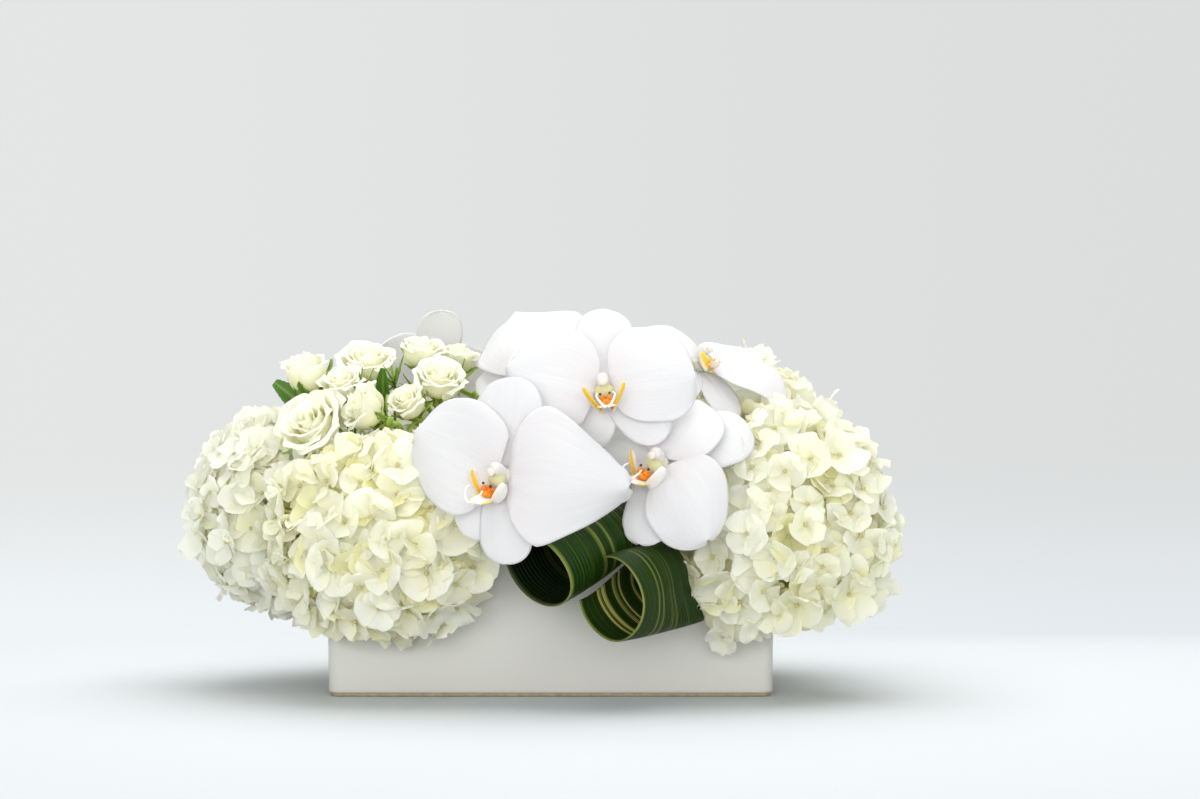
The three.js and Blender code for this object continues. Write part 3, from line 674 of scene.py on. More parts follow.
def vase_outline():
    """The outline as (inset, height), up the foot and the outside, over the rim and down the inside."""
    top, wall, lean = VASE["height"], VASE["wall"], SIDES["lean"]
    heel, edge = SIDES["heel_round"], SIDES["rim_round"]
    foot = [(FOOT["inset"] + 0.6, 0.0), (FOOT["inset"], 0.5), (FOOT["inset"], FOOT["height"])]
    side = arc(lean + heel, FOOT["height"] + heel, heel, -90, 0)
    for share in np.linspace(0, 1, 7):
        side.append((lean * (1 - share), SIDES["low"] + (SIDES["high"] - SIDES["low"]) * share))
    rim = arc(edge, top - edge, edge, 0, 90) + arc(wall - edge, top - edge, edge, 90, 180)
    inside = [(wall, 60.0), (wall, VASE["floor"] + 4.0), (wall + 3.0, VASE["floor"])]
    return foot, side + rim + inside


def make_vase():
    """The vase as one closed skin, with a value that tells its bare foot from the glaze."""
    unglazed, glazed = vase_outline()
    rings = np.stack([rounded_ring(inset, z) for inset, z in unglazed + glazed])
    under, bottom = (np.broadcast_to((0, 0, z), rings[:1].shape) for z in (0.0, VASE["floor"]))
    rings = np.concatenate([under, rings, bottom])
    foot = np.zeros(rings.shape[:2])
    foot[: len(unglazed) + 1] = 1.0
    form = Form()
    form.add(rings, quads(len(rings), rings.shape[1], True), foot=foot)
    make_piece("glazed_vase", form, glaze(), "vase")


# Orchids

ORCHID_SEED = 40
PETAL_THICKNESS = 0.7
PLAIN_SIDE = (1.0, 0.6, 2.3)
# Along a bloom's own axes: its neck, its column, which arches up over the lip, and one of the tendrils.
NECK = [(0, 0, -4.2), (0, 0, -1), (0, 0, 1.5)]
NECK_RADII = [3.2, 4.8, 4.4]
COLUMN = [(0, 1.0, 0), (0, 3.4, 3.6), (0, 4.6, 7.2), (0, 3.8, 10.0)]
TENDRIL = [(0.6, -13.0, 18), (1.6, -13.2, 19.6), (3.6, -10.6, 20.4), (5.0, -7.4, 19.4), (4.4, -5.4, 17.6)]
# Behind a bloom's middle, its stalk ends at the first distance and is straight for the second.
STALK_END, STALK_STRAIGHT = 4.3, 8
# A spike has a ring at every ninth point of its path.
RING_START, RING_STEP = 10, 9


def tapered(count, power=1.8, end=0.996):
    """Steps from 0 to 1 that close up towards a rounded tip."""
    return end * (1 - (1 - np.linspace(0, 1, count)) ** power)


def rounded_outline(v, broadest, fullness):
    """Half the width along a petal: 1 where it is broadest, and an ellipse's fullness is 2."""
    return (1 - np.abs(2 * v ** (math.log(0.5) / math.log(broadest)) - 1) ** fullness) ** (1 / fullness)


def side_outline(v, share, broadest, fullness, blunt=0.0):
    """Half the width on one side of a petal, as a share of the petal's own half width."""
    return np.maximum(share * rounded_outline(v, broadest, fullness), blunt * np.sqrt(1 - v**12))


def blade_height(v, u, length, width, sweep, broad, phase):
    """How high a petal or sepal stands over its bloom's face: swept back, crowned and ruffled."""
    level, crown, ruffling = (1.2, 0.1, 0.04) if broad else (-2.5, 0.07, 0.03)
    ruffle = np.sin(4.5 * v + phase[1] + 1.4 * u) * u * u
    ruffle = ruffle + 0.45 * np.sin(10 * v + phase[2] - 2.5 * u) * u**4
    z = level - sweep * length * v**1.6 - crown * width * u * u * v**0.7 + ruffling * width * ruffle * v
    z = z - 0.6 * np.exp(-((u / 0.14) ** 2)) * (1 - v)
    if broad:
        z = z + width * (0.02 * np.sin(3.2 * u + phase[4]) + 0.05) * np.sin(np.pi * v)
    return z


def orchid_blade(axes, centre, shape, broad, random):
    """The points of one petal or sepal, with how far out and to which side each lies."""
    degrees, length, width, sweep, *sides = shape
    turn = math.radians(degrees)
    rows, columns, root = (34, 37, 3.0) if broad else (24, 19, 2.6)
    v, u = grid(tapered(rows, 2.1, 0.9985), columns)
    outline = np.where(u > 0, *(side_outline(v, *side) for side in sides or [PLAIN_SIDE, PLAIN_SIDE]))
    phase = random.uniform(0, TURN, 5)
    wobble = 1 + 0.02 * np.sin(6 * v + phase[0] + np.sign(u))
    wobble = wobble + 0.012 * np.sin(14 * v + phase[3] + 2 * np.sign(u))
    across = 0.5 * width * outline * u * wobble
    along = root + (length - root) * v
    x = along * math.cos(turn) - across * math.sin(turn)
    y = along * math.sin(turn) + across * math.cos(turn)
    z = blade_height(v, u, length, width, sweep, broad, phase)
    return placed(points_of(x, y, z), axes, centre), v, u


def lip_axes(bloom):
    """The bloom's axes, turned so that the lip hangs between the two lower sepals."""
    lower = bloom.get("lip_turn", 0.5 * (bloom["lower_left"][0] + bloom["lower_right"][0]) - 270)
    return spun(axes_of(bloom.get("lip_faces", bloom["faces"])), math.radians(lower))


def add_column(form, axes, centre):
    """A bloom's neck, its column with a cap, and the green cushion under it."""
    form.tube(placed(NECK, axes, centre), NECK_RADII, sides=14, rim=0.5, green=0.4)
    path = smooth_path(placed(COLUMN, axes, centre), 7)
    share = np.linspace(0, 1, len(path))
    radius = np.interp(share, [0, 0.2, 0.5, 0.8, 0.94, 1], [3.0, 3.1, 3.3, 3.4, 2.8, 1.6])
    tan = np.linspace(0, 0.9, len(path) + 2)[:, None] ** 2
    form.tube(path, radius, sides=18, rim=0.8, tan=tan)
    form.blob(placed((0, 2.6, 10.4), axes, centre), (2.6, 2.3, 1.5), axes, rim=0.9, tan=1.0)
    form.blob(placed((0, -1.6, 4.4), axes, centre), (5.6, 4.2, 3.8), axes, rim=0.3, green=1.0)


def make_orchid(name, bloom, material):
    """The three sepals and, over them, the two broad petals, round the column."""
    random = np.random.default_rng(ORCHID_SEED + int(name))
    axes, centre = axes_of(bloom["faces"]), np.array(bloom["centre"], float)
    form = Form()
    for key in ("dorsal", "lower_left", "lower_right", "left", "right"):
        points, v, u = orchid_blade(axes, centre, bloom[key], key in ("left", "right"), random)
        form.slab(points, PETAL_THICKNESS, rim=v, side=u, tint=random.random())
    add_column(form, lip_axes(bloom), centre)
    make_piece(f"orchid_petals_{name}", form, material, f"orchid_bloom_{name}")
    return form


def add_side_lobe(form, axes, centre, side, white):
    """One of the two lobes that stand up beside the lip's middle."""
    v, u = grid(tapered(16, 1.6), 13)
    width = 8.5 * rounded_outline(0.06 + 0.93 * v, 0.5, 2.2)
    x = side * (2.6 + 11.0 * v**0.85 - 1.8 * v**3 - 1.4 * u * u * v)
    y = -12.6 + 12.6 * v**1.05 + 0.16 * width * u
    z = 6.2 + 4.0 * v + 0.5 * width * u
    front = np.clip(0.5 + 0.9 * u, 0, 1) * (0.1 if white else 1.0)
    yellow = np.clip(1.25 * front + 0.25 * front.max() - 0.6 * v**3, 0, 1)
    red = np.clip(0.9 - 2.4 * v, 0, 1) * front
    points = placed(points_of(x, y, z), axes, centre)
    form.slab(points, 0.55, yellow=yellow, red=red, orange=0.25 * front * (1 - v))


def add_middle_lobe(form, axes, centre):
    """The lobe that points forward, yellow at its root and at the corners of its arrowhead."""
    v, u = grid(tapered(16, 1.6), 13)
    x = u * np.interp(v, [0, 0.25, 0.6, 0.85, 1], [4.2, 4.6, 5.6, 3.6, 1.0])
    y = -9.8 - 3.4 * v**1.2 + 1.6 * u * u * (1 - v) - 0.8 * u * u * np.sin(np.pi * v)
    z = 3.4 + 15.0 * v
    middle = np.exp(-((u / 0.5) ** 2))
    corners = (np.abs(u) > 0.75) * (v > 0.4) * (v < 0.8)
    yellow = np.clip(1.0 - 1.9 * v, 0, 1) * (0.4 + 0.6 * middle) + 0.8 * corners
    points = placed(points_of(x, y, z), axes, centre)
    form.slab(points, 0.9, yellow=yellow, orange=np.clip(1.1 - 2.6 * v, 0, 1) * middle)


def make_lip(name, bloom, material):
    """Two side lobes, a pointed middle lobe with two tendrils, and an orange crest between them."""
    axes, centre = lip_axes(bloom) * bloom.get("lip_size", 1.0), np.array(bloom["centre"], float)
    form = Form()
    for side in (-1, 1):
        add_side_lobe(form, axes, centre, side, side == bloom.get("white_lobe"))
    add_middle_lobe(form, axes, centre)
    for side in (-1, 1):
        mirror = np.array((side, 1, 1))
        path = placed(smooth_path(mirror * TENDRIL, 7), axes, centre)
        form.tube(path, np.linspace(0.95, 0.4, len(path)), yellow=0.05)
        bump, dot = placed((mirror * (1.9, -6.9, 8.6), mirror * (2.6, -4.2, 10.4)), axes, centre)
        form.blob(bump, (1.9, 2.0, 2.8), axes, orange=1.0, yellow=1.0, red=0.75)
        form.blob(dot, (0.75, 0.75, 0.7), axes, rows=7, columns=9, dark=1.0)
    crest = placed((0, -8.8, 8.8), axes, centre)
    form.blob(crest, (3.4, 1.8, 3.2), axes, orange=0.9, yellow=1.0, red=0.3)
    make_piece(f"orchid_lip_parts_{name}", form, material, f"orchid_lip_{name}")
    return form


def make_spike(name, spike, material):
    """A spike's stem with its rings, and the stalk of each bloom on it."""
    form = Form()
    path = stem_path(spike["foot"], spike["path"], 8)
    form.tube(path, np.linspace(2.6, 2.2, len(path)), sides=12)
    for k in range(RING_START, len(path) - 4, RING_STEP):
        form.tube(path[k : k + 3], [2.9, 3.3, 2.8], sides=12, rim=1.0)
    for bloom, start in spike["blooms"].items():
        way = unit(ORCHIDS[bloom]["faces"])
        end = ORCHIDS[bloom]["centre"] - STALK_END * way
        stalk = smooth_path([start, end - STALK_STRAIGHT * way, end], 8)
        paler = np.linspace(0, 1, len(stalk) + 2)[:, None]
        form.tube(stalk, np.linspace(1.7, 2.0, len(stalk)), sides=9, rim=paler)
    make_piece(name + "_stem", form, material, name)


def make_orchids(stem):
    """Every bloom with its lip, and the spikes; returns what the florets have to keep clear of."""
    petal, lip = orchid_petal(), orchid_lip()
    forms = []
    for name, bloom in ORCHIDS.items():
        forms.append(make_orchid(name, bloom, petal))
        forms.append(make_lip(name, bloom, lip))
    for name, spike in SPIKES.items():
        make_spike(name, spike, stem)
    return forms


# Roses

SPRAY_SEED, ROSE_SEED = 70, 90
# How many petals a rose has, and how far the outer ones bulge, stand lower and flare.
OPEN_ROSE = {"petals": 20, "bulge": 0.76, "lower": 0.17, "flare": 0.26}
FURLED_ROSE = {"petals": 15, "bulge": 0.8, "lower": 0.08, "flare": 0.1}
NEEDLES = {"count": 12, "way": (0.0, -0.55, 0.6), "spread": 0.5, "length": (11, 19)}


def rose_base(rose):
    """Where the petals of a rose start."""
    return np.array(rose["centre"], float) - unit(rose["opens"]) * rose["height"] / 2


def rose_sheet(rose, habit, share, turn, random):
    """One petal, wound round the rose's axis; share is how far out it stands, from 0 to 1."""
    outer, height = rose["width"] / 2, rose["height"]
    phase = random.uniform(0, TURN, 3)
    radius = outer * (0.1 + habit["bulge"] * share) * random.uniform(0.95, 1.05)
    top = height * (1.0 - habit["lower"] * share**2) * random.uniform(0.92, 1.05)
    span = (3.3 - 1.5 * share) * random.uniform(0.9, 1.1)
    flare = outer * (0.02 + habit["flare"] * share**2) * random.uniform(0.5, 1.4)
    v, u = grid(np.linspace(0, 1, 14), 15)
    narrowing = 1 - 0.32 * np.clip((v - 0.65) / 0.35, 0, 1) ** 2
    spread = (0.45 + 0.55 * np.sin(0.5 * np.pi * np.minimum(1, 1.8 * v))) * narrowing
    angle = turn + 0.5 * span * u * spread
    belly = np.sin(0.5 * np.pi * np.minimum(1, 2.0 * v)) ** 0.75
    roll = np.clip((v - 0.84) / 0.16, 0, 1) ** 2 * (0.2 + share)
    r = 1.6 + (radius - 1.6) * belly + flare * v**3 * (1 - 0.3 * u * u)
    r = r * (1 + 0.05 * np.sin(2.3 * u + phase[0]) * v)
    r = r + 0.6 * (0.3 + share) * np.sin(7 * u + phase[1]) * v**4 + 0.12 * outer * roll
    z = 0.8 + (top - 0.8) * v * (1 - 0.15 * u * u * v) - 0.09 * height * roll
    z = z + 0.035 * height * np.sin(3 * u + phase[2]) * v**3
    return points_of(r * np.cos(angle), r * np.sin(angle), z), v, u


def make_rose(name, rose, node, material, seed):
    """Petals wound round the heart of a rose; the outer ones stand lower and roll back."""
    random = np.random.default_rng(seed)
    axes, base = axes_of(rose["opens"]), rose_base(rose)
    habit = FURLED_ROSE if rose.get("furled") else OPEN_ROSE
    form = Form()
    for k in range(habit["petals"]):
        share = (k + 0.6) / habit["petals"]
        turn = k * GOLDEN + random.uniform(-0.3, 0.3)
        points, v, u = rose_sheet(rose, habit, share, turn, random)
        points = placed(points, axes, base)[None]
        form.sheets(points, rim=v, depth=1 - share, tint=random.random(), side=u * (1 + share))
    width, height = 0.15 * rose["width"], 0.3 * rose["height"]
    # The heart is coloured with the full painted shade of the inner petals.
    form.blob(base + height * axes[2], (width, width, height), axes, depth=1.0, rim=0.2)
    form.blob(base + 2.4 * axes[2], (3.6, 3.6, 2.6), axes, depth=1.0)
    make_piece(name, form, material, node)
    return form


def narrow_sepal(form, start, way, out, length, width, curl, tint):
    """A thin pointed sepal that leaves start along way and bends towards out."""
    v, u = grid(np.linspace(0, 1, 12), 5)
    middle = start + length * v[..., None] * way + curl * length * (v**2)[..., None] * out
    side = unit(np.cross(way, out))
    half = 0.5 * width * (np.sin(np.pi * np.minimum(1, 0.14 + 0.86 * v)) ** 0.8 + 0.03) * (1 - 0.45 * v)
    barbs = np.sign(np.sin(17 * v)) * (v > 0.2) * (np.abs(u) > 0.9)
    half = half * (1 + 0.22 * barbs)
    points = middle + (half * u)[..., None] * side + (0.18 * width * u * u)[..., None] * out
    form.slab(points, 0.35, tint=tint, rim=np.abs(u))


def leaf_blade(form, start, end, width, tint):
    """A toothed leaf with a folded middle rib."""
    start, run = np.array(start, float), np.array(end, float) - start
    v, u = grid(np.linspace(0, 1, 33), 9)
    side = unit(np.cross(run, (-0.2, -0.85, 0.5)))
    lift = unit(np.cross(side, run))
    half = 0.5 * width * (0.1 + 0.95 * np.sin(np.pi * np.minimum(1, 0.94 * v) ** 0.85) ** 0.8)
    half = half * (1 + 0.07 * (np.abs(u) > 0.95) * ((v * 16) % 1 - 0.5) * 2)
    points = start + v[..., None] * run + (half * u)[..., None] * side
    points = points + (0.25 * half * np.abs(u) + 4 * v * (1 - v))[..., None] * lift
    form.slab(points, 0.45, tint=tint, rim=np.clip(1 - 6 * np.abs(u), 0, 1) * 0.8)


def add_calyx(form, rose, fork, random):
    """The branch up to a rose, and the cup with five sepals under it: upright if the rose is furled."""
    axes, base = axes_of(rose["opens"]), rose_base(rose)
    form.tube(smooth_path([fork, base - 12 * axes[2], base - 3 * axes[2]], 10), 1.5, sides=9)
    form.blob(base - 3.2 * axes[2], (3.3, 3.3, 3.6), axes)
    for k in range(5):
        angle = TURN * k / 5 + random.uniform(-0.2, 0.2)
        out = math.cos(angle) * axes[0] + math.sin(angle) * axes[1]
        start = base - 1.0 * axes[2] + 2.6 * out
        length = rose["height"] * random.uniform(0.62, 0.85)
        if rose.get("furled"):
            way = unit(0.95 * out + 0.8 * axes[2])
            narrow_sepal(form, start, way, out, 1.3 * length, width=8.0, curl=-0.22, tint=0.8)
        else:
            way = unit(out + random.uniform(0.2, 1.6) * axes[2])
            length = length * random.uniform(0.9, 1.5)
            narrow_sepal(form, start, way, -axes[2], length, width=4.2, curl=0.2, tint=0.3)


def add_needles(form, start, fork, random):
    """A tuft of thin dark sepals at the end of a branch of its own."""
    form.tube(smooth_path([fork, start], 6), 0.8, sides=7, tint=0.3)
    start = np.array(start, float)
    for _ in range(NEEDLES["count"]):
        way = unit(NEEDLES["way"] + random.normal(0, NEEDLES["spread"], 3))
        bend = unit(np.cross(way, random.normal(size=3)))
        length = random.uniform(*NEEDLES["length"])
        narrow_sepal(form, start, way, bend, length, width=2.0, curl=0.15, tint=0.6)


def make_spray(name, spray, material, seed):
    """The green parts of a spray: its stem and branches, the calyxes, the leaves and the needles."""
    random = np.random.default_rng(seed)
    form = Form()
    fork = np.array(spray["fork"], float)
    path = stem_path(spray["foot"], [fork], 10)
    form.tube(path, np.linspace(2.4, 2.0, len(path)), sides=10)
    form.blob(fork, (2.3, 2.3, 2.6))
    for rose in spray["roses"]:
        add_calyx(form, rose, fork, random)
    for start, end, width in spray["leaves"]:
        form.tube(smooth_path([fork, start], 6), 0.9, tint=0.5)
        leaf_blade(form, start, end, width, tint=1.0)
    for start in spray["needles"]:
        add_needles(form, start, fork, random)
    make_piece(name + "_greens", form, material, name)
    return form


def make_roses(stem):
    """Every spray with its roses; returns what the florets have to keep clear of."""
    petal = rose_petal()
    forms = []
    for j, (name, spray) in enumerate(SPRAYS.items()):
        forms.append(make_spray(name, spray, stem, SPRAY_SEED + j))
        for k, rose in enumerate(spray["roses"], 1):
            seed = ROSE_SEED + 10 * j + k
            forms.append(make_rose(f"{name}_petals_{k}", rose, f"{name}_bloom_{k}", petal, seed))
    return forms


# Rolled leaves


def rolled_blade(leaf):
    """The points of a blade rolled round its axis, with its places along and across and their angles."""
    mouth = np.array(leaf["mouth"], float)
    axis = leaf["back"] - mouth
    side = unit(np.cross(axis, (0, 0, 1)))
    rise = unit(np.cross(side, axis))
    v = np.linspace(0, 1, 41)[:, None]
    u = np.linspace(0, 1, 121)[None]
    narrowed = v ** LEAF["taper"]
    turn = leaf["turn"] + (LEAF["back_turn"] - leaf["turn"]) * narrowed
    angle = np.radians(leaf["seam"] - turn * u)
    wave = 1 + 0.012 * np.sin(9 * u + 2 * v) + 0.01 * np.sin(21 * u - 3 * v)
    ends = zip(leaf["mouth_radii"], leaf["back_radii"])
    wide, tall = ((at_mouth + (at_back - at_mouth) * narrowed) * wave for at_mouth, at_back in ends)
    low = np.maximum(0, -np.sin(angle)) ** 2
    points = mouth + v[..., None] * axis + (v * low)[..., None] * np.array(leaf["tail"], float)
    points = points + (wide * np.cos(angle))[..., None] * side + (tall * np.sin(angle))[..., None] * rise
    return points, u, v, angle


def make_leaf(name, leaf, material):
    """The rolled blade, with painted shade darkening its inside, and its stalk."""
    points, along, across, angle = rolled_blade(leaf)
    stripe = 0.15 + 0.85 * np.clip((along - leaf["plain"]) / 0.12, 0, 1)
    edge = 0.5 * np.clip(1 - across / 0.01, 0, 1) * (0.3 + 0.7 * np.clip(np.cos(angle), 0, 1))
    # Painted shade on the inner side of the blade only.
    gloom = np.array((0, leaf["gloom"]))[:, None, None]
    form = Form()
    thickness = LEAF["thickness"]
    form.slab(points, thickness, along=along, across=across, stripe=stripe, edge=edge, gloom=gloom)
    stalk = stem_path(leaf["foot"], leaf["path"], 8, FOAM_TOP - 4)
    form.tube(stalk, LEAF["stalk_radius"], sides=10, across=0.4)
    make_piece(name + "_blade", form, material, name)
    return form


def make_leaves():
    """Both rolled leaves; returns what the florets have to keep clear of."""
    material = rolled_leaf()
    return [make_leaf(name, leaf, material) for name, leaf in LEAVES.items()]


# Hydrangea heads

# The layers of florets: their share of the head's radii, the space between them and how deep they look,
# which sets their painted shade.
LAYERS = ((0.97, 17.2, 0.0), (0.85, 19.5, 0.55), (0.71, 25.0, 1.0))
# The room that one of many evenly spread florets takes, as a share of its spacing squared.
ROOM = 0.87
FLORET_RADII = (10.0, 16.0)
SEPAL_ROWS, SEPAL_COLUMNS = 8, 7
# A floret that has no room where it stands is tried this much further in.
SHIFTS = (0, -4, -8, -13, -18)
# A floret moved in by the first counts as fully sunk, which adds painted shade, and stalks start at this
# share of the way out.
SUNK, STALK_START = 24, 0.72
# Its tips may reach this share of its head's radii, and it is left out inside this share of another's.
OWN_REACH, OTHER_REACH = 1.06, 0.9
GAP_TO_VASE, GAP_TO_BLOOMS = 1.0, 2.4
# Past this x, the right front head has no florets lower than this z.
RIGHT_END = {"x": 122, "z": 50}
CORE = {"share": 0.58, "rows": 17, "columns": 26, "gap": 1.5}


def sepals(random, centres, axes, radii):
    """The four sepals of each floret, as [sepal, row, column, xyz], and the places on a sepal."""
    count = len(centres)
    v, u = grid(tapered(SEPAL_ROWS, 1.6, 0.99), SEPAL_COLUMNS)

    def draw(low, high, each=4):
        return random.uniform(low, high, (count, each))[..., None, None]

    outline = np.maximum(rounded_outline(v, 0.6, draw(1.5, 2.3)), 0.06)
    outline = outline * (1 + 0.06 * np.sin(12 * v + draw(0, TURN)))
    angle = draw(0, TURN, 1) + np.arange(4)[:, None, None] * TURN / 4 + draw(-0.12, 0.12)
    size = radii[:, None, None, None]
    cup = draw(-0.15, 0.6, 1) + draw(-0.22, 0.22)
    length, width = size * draw(0.85, 1.12), size * draw(1.12, 1.45)
    across = 0.5 * width * outline * u
    along = 0.05 * size + 0.95 * length * v
    z = size * cup * v**1.7 + draw(0.08, 0.3) * across + size * draw(-0.05, 0.14) * u * u * outline
    z = z - 0.05 * size * np.exp(-((u / 0.25) ** 2)) * (1 - v)
    z = z + 0.13 * size * np.sin(8 * v + draw(0, TURN) + 2.5 * u) * u * u * v
    x = along * np.cos(angle) - across * np.sin(angle)
    y = along * np.sin(angle) + across * np.cos(angle)
    local = points_of(x, y, z).reshape(count, -1, 3)
    points = local @ axes + centres[:, None]
    return points.reshape(-1, SEPAL_ROWS, SEPAL_COLUMNS, 3), v, u


def reach(points, head):
    """How far out points lie in a head, where 1 is its outside."""
    return np.linalg.norm((points - head["centre"]) / head["radii"], axis=-1)


def in_vase(points, margin):
    """Which points lie in the vase or its foam, or within a margin of them."""
    x, y, z = np.moveaxis(points, -1, 0)
    within = (np.abs(x) < VASE["length"] / 2 + margin) & (np.abs(y) < VASE["depth"] / 2 + margin)
    return within & (z < FOAM_TOP + margin)


def spread_ways(radii, spacing, random):
    """Ways out of an ellipsoid's middle, spread evenly and then shaken a little."""
    area = 2 * TURN * radii.prod() ** (2 / 3)
    count = round(area / (ROOM * spacing**2))
    height = 1 - (2 * np.arange(count) + 1) / count
    around = GOLDEN * np.arange(count) + random.uniform(0, TURN)
    ring = np.sqrt(1 - height**2)
    way = points_of(ring * np.cos(around), ring * np.sin(around), height)
    return unit(way + random.normal(0, 0.05, (count, 3)))


def has_room(name, place, axes, radius, obstacles):
    """Whether a floret keeps to its own head and clear of the vase, the blooms and the leaves."""
    angle = TURN * np.arange(8)[:, None] / 8
    rim = place + 0.9 * radius * (np.cos(angle) * axes[0] + np.sin(angle) * axes[1])
    tips = np.concatenate([[place], rim, 0.5 * (rim + place)])
    past_end = name == "right_front" and place[0] > RIGHT_END["x"] and place[2] < RIGHT_END["z"]
    if past_end or in_vase(tips, GAP_TO_VASE).any() or reach(tips, HEADS[name]).max() > OWN_REACH:
        return False
    return min(obstacles.find(tip)[2] for tip in tips) >= GAP_TO_BLOOMS


def floret_places(name, share, spacing, random, obstacles):
    """The middle, axes, radius and depth of each floret in one layer."""
    centre, radii = np.array(HEADS[name]["centre"], float), np.array(HEADS[name]["radii"], float) * share
    way = spread_ways(radii, spacing, random)
    out = unit(unit(way / radii) + 0.3 * random.normal(size=way.shape))
    size = random.uniform(*FLORET_RADII, len(way))
    lift = random.uniform(-5, 3, len(way))
    others = [head for key, head in HEADS.items() if key != name]
    kept = []
    for k, axes in enumerate(map(axes_of, out)):
        for shift in SHIFTS:
            place = centre + way[k] * radii + out[k] * (lift[k] + shift)
            if any(reach(place, other) < OTHER_REACH for other in others):
                break
            if has_room(name, place, axes, size[k], obstacles):
                kept.append((place, axes, size[k], -shift / SUNK))
                break
    return kept


def add_core(form, head):
    """The dense middle of a head, in the painted shade of its depths, flattened where it would dip into
    the vase.
    """
    rows, columns = CORE["rows"], CORE["columns"]
    core = ball_points(CORE["share"] * np.array(head["radii"], float), rows, columns) + head["centre"]
    core[in_vase(core, CORE["gap"]), 2] = FOAM_TOP + 1.0
    form.add(core, quads(rows, columns, True), depth=1.0, bead=0.25)


def make_head(name, head, obstacles):
    """Layers of florets round a core, each with a bead in its heart and a stalk."""
    random = np.random.default_rng(head["seed"])
    form = Form()
    for share, spacing, deep in LAYERS:
        kept = floret_places(name, share, spacing, random, obstacles)
        places, axes, sizes, sunk = map(np.array, zip(*kept))
        points, v, u = sepals(random, places, axes, sizes)
        tint = np.repeat(random.random(len(kept)), 4)[:, None, None]
        # How much painted shade each floret's colour gets.
        depth = np.repeat(np.clip(deep + 0.5 * sunk, 0, 1), 4)[:, None, None]
        form.sheets(points, rim=v, side=u, tint=tint, depth=depth)
        for place, own in zip(places, axes):
            form.blob(place + 0.7 * own[2], (1.25, 1.25, 1.1), own, rows=5, columns=7, bead=1.0)
            inner = head["centre"] + (place - head["centre"]) * STALK_START
            # Stalks take the painted shade of the head's inside.
            form.tube([inner, place], 0.8, sides=5, bead=0.45, depth=0.8)
    add_core(form, head)
    material = hydrangea_petal(head["cream"])
    make_piece("hydrangea_florets_" + name, form, material, "hydrangea_head_" + name)


# Stage, light and camera

CAMERA = (0.028, -1.367, 0.168)
LIGHT_AIM = (0, 0, 0.08)
LIGHTS = {
    "overhead": {"place": (0.05, 0.15, 1.15), "size": (1.3, 1.1), "watts": 13},
    "front_left": {"place": (-0.9, -2.7, 0.7), "size": (2.4, 1.3), "watts": 40},
    "front_right": {"place": (1.3, -2.6, 0.7), "size": (2.0, 1.3), "watts": 23},
}
# The floor takes light and shadow up to the first of these distances, behind the vase and all round it,
# and has faded into the backdrop's tone at the second.
FLOOR_BACK = (0.2, 0.34)
FLOOR_ROUND = (0.45, 0.9)
FLOOR_CORNERS = [(-9, -9, 0), (9, -9, 0), (9, 9, 0), (-9, 9, 0)]


def backdrop_tone(f, rise, left):
    """The backdrop's tone for a ray's rise, with painted light: a little brighter and cooler low down and
    to the left.
    """
    low = f.mix(left, colour(230, 235, 239), colour(241, 246, 249))
    high = f.mix(left, colour(220, 222, 222), colour(228, 230, 229))
    return f.mix(f.step(rise, -0.105, -0.02), low, high)


def floor_finish():
    """Matte near the vase, and further off it glows with the tone of the backdrop behind it."""
    f = Finish("pale_floor")
    x, y = (f.part(f.place(), axis) for axis in (0, 1))
    grain = f.noise(f.place(), 4.0, 2.0)
    base = f.mix(grain, colour(201, 205, 207), colour(204, 208, 210))
    matte = f.node("BsdfDiffuse", sockets={"Color": base})
    away = f.math("MAXIMUM", f.length(f.vector(x - CAMERA[0], y - CAMERA[1])), 0.9)
    tone = backdrop_tone(f, -CAMERA[2] / away, f.step((x - CAMERA[0]) / away, 0.25, -0.25))
    far = f.node("Emission", sockets={"Color": tone, "Strength": 1.0})
    near = (1 - f.step(y, *FLOOR_BACK)) * (1 - f.step(f.length(f.vector(x, y)), *FLOOR_ROUND))
    mixed = f.node("MixShader", sockets={0: near, 1: far, 2: matte})
    f.node("OutputMaterial", sockets={"Surface": mixed})
    return f.owner


def make_floor():
    """The table top, which is stage and no piece of the object."""
    mesh = bpy.data.meshes.new("floor")
    mesh.from_pydata(FLOOR_CORNERS, [], [(0, 1, 2, 3)])
    mesh.materials.append(floor_finish())
    floor = bpy.data.objects.new("floor", mesh)
    bpy.context.collection.objects.link(floor)


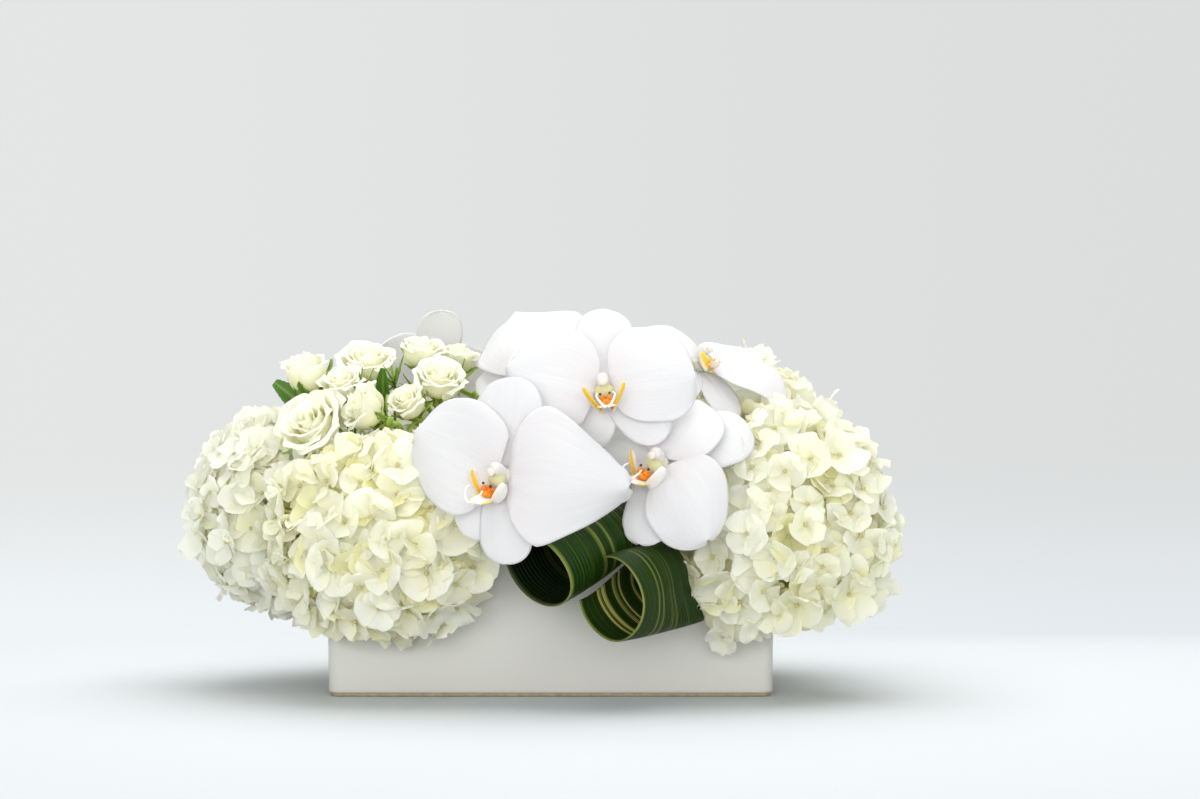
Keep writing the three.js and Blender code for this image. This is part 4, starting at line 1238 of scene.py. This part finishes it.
def make_world():
    """A soft dome that lights the piece, and the plain backdrop that the camera sees in its place."""
    world = bpy.data.worlds.new("studio")
    bpy.context.scene.world = world
    f = Finish("studio", world)
    way = f.node("TexCoord", output=0)
    x, z = (f.part(way, axis) for axis in (0, 2))
    fill = f.mix(f.step(z, -0.1, 1.0), colour(112, 114, 115), colour(252, 253, 254))
    dome = f.node("Background", sockets={"Color": fill, "Strength": 0.95})
    seen = backdrop_tone(f, z, f.step(x, 0.25, -0.25))
    backdrop = f.node("Background", sockets={"Color": seen, "Strength": 1.0})
    camera_ray = f.node("LightPath", output=0)
    mixed = f.node("MixShader", sockets={0: camera_ray, 1: dome, 2: backdrop})
    f.node("OutputWorld", sockets={"Surface": mixed})


def make_light(name, place, size, watts):
    """A soft rectangular light that faces the arrangement."""
    data = bpy.data.lights.new(name, "AREA")
    data.shape, data.energy = "RECTANGLE", watts
    data.size, data.size_y = size
    made = bpy.data.objects.new(name, data)
    made.location = place
    axes = axes_of(np.subtract(place, LIGHT_AIM))
    made.rotation_euler = Matrix(axes.T.tolist()).to_euler()
    bpy.context.collection.objects.link(made)


def make_camera():
    """Level, straight in front and far enough off to be the photograph's own view."""
    data = bpy.data.cameras.new("camera")
    data.lens, data.sensor_width = 70, 36
    made = bpy.data.objects.new("camera", data)
    made.location = CAMERA
    made.rotation_euler = (math.pi / 2, 0, 0)
    bpy.context.collection.objects.link(made)
    bpy.context.scene.camera = made


def tree_of(forms):
    """A search tree of the forms' points."""
    cloud = np.concatenate([form.cloud() for form in forms])
    tree = KDTree(len(cloud))
    for k, point in enumerate(cloud):
        tree.insert(point, k)
    tree.balance()
    return tree


def dress_solid(node, material):
    """Gives a solid that keeps its own shape its material."""
    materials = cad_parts[node].data.materials
    materials.clear()
    materials.append(material)


def main():
    bpy.context.scene.view_settings.view_transform = "Standard"
    make_camera()
    make_world()
    make_floor()
    for name, light in LIGHTS.items():
        make_light(name, **light)
    make_vase()
    stem = green_stem()
    obstacles = tree_of(make_orchids(stem) + make_roses(stem) + make_leaves())
    for name, head in HEADS.items():
        make_head(name, head, obstacles)
        dress_solid("hydrangea_stem_" + name, stem)
    dress_solid("floral_foam", wet_foam())


main()
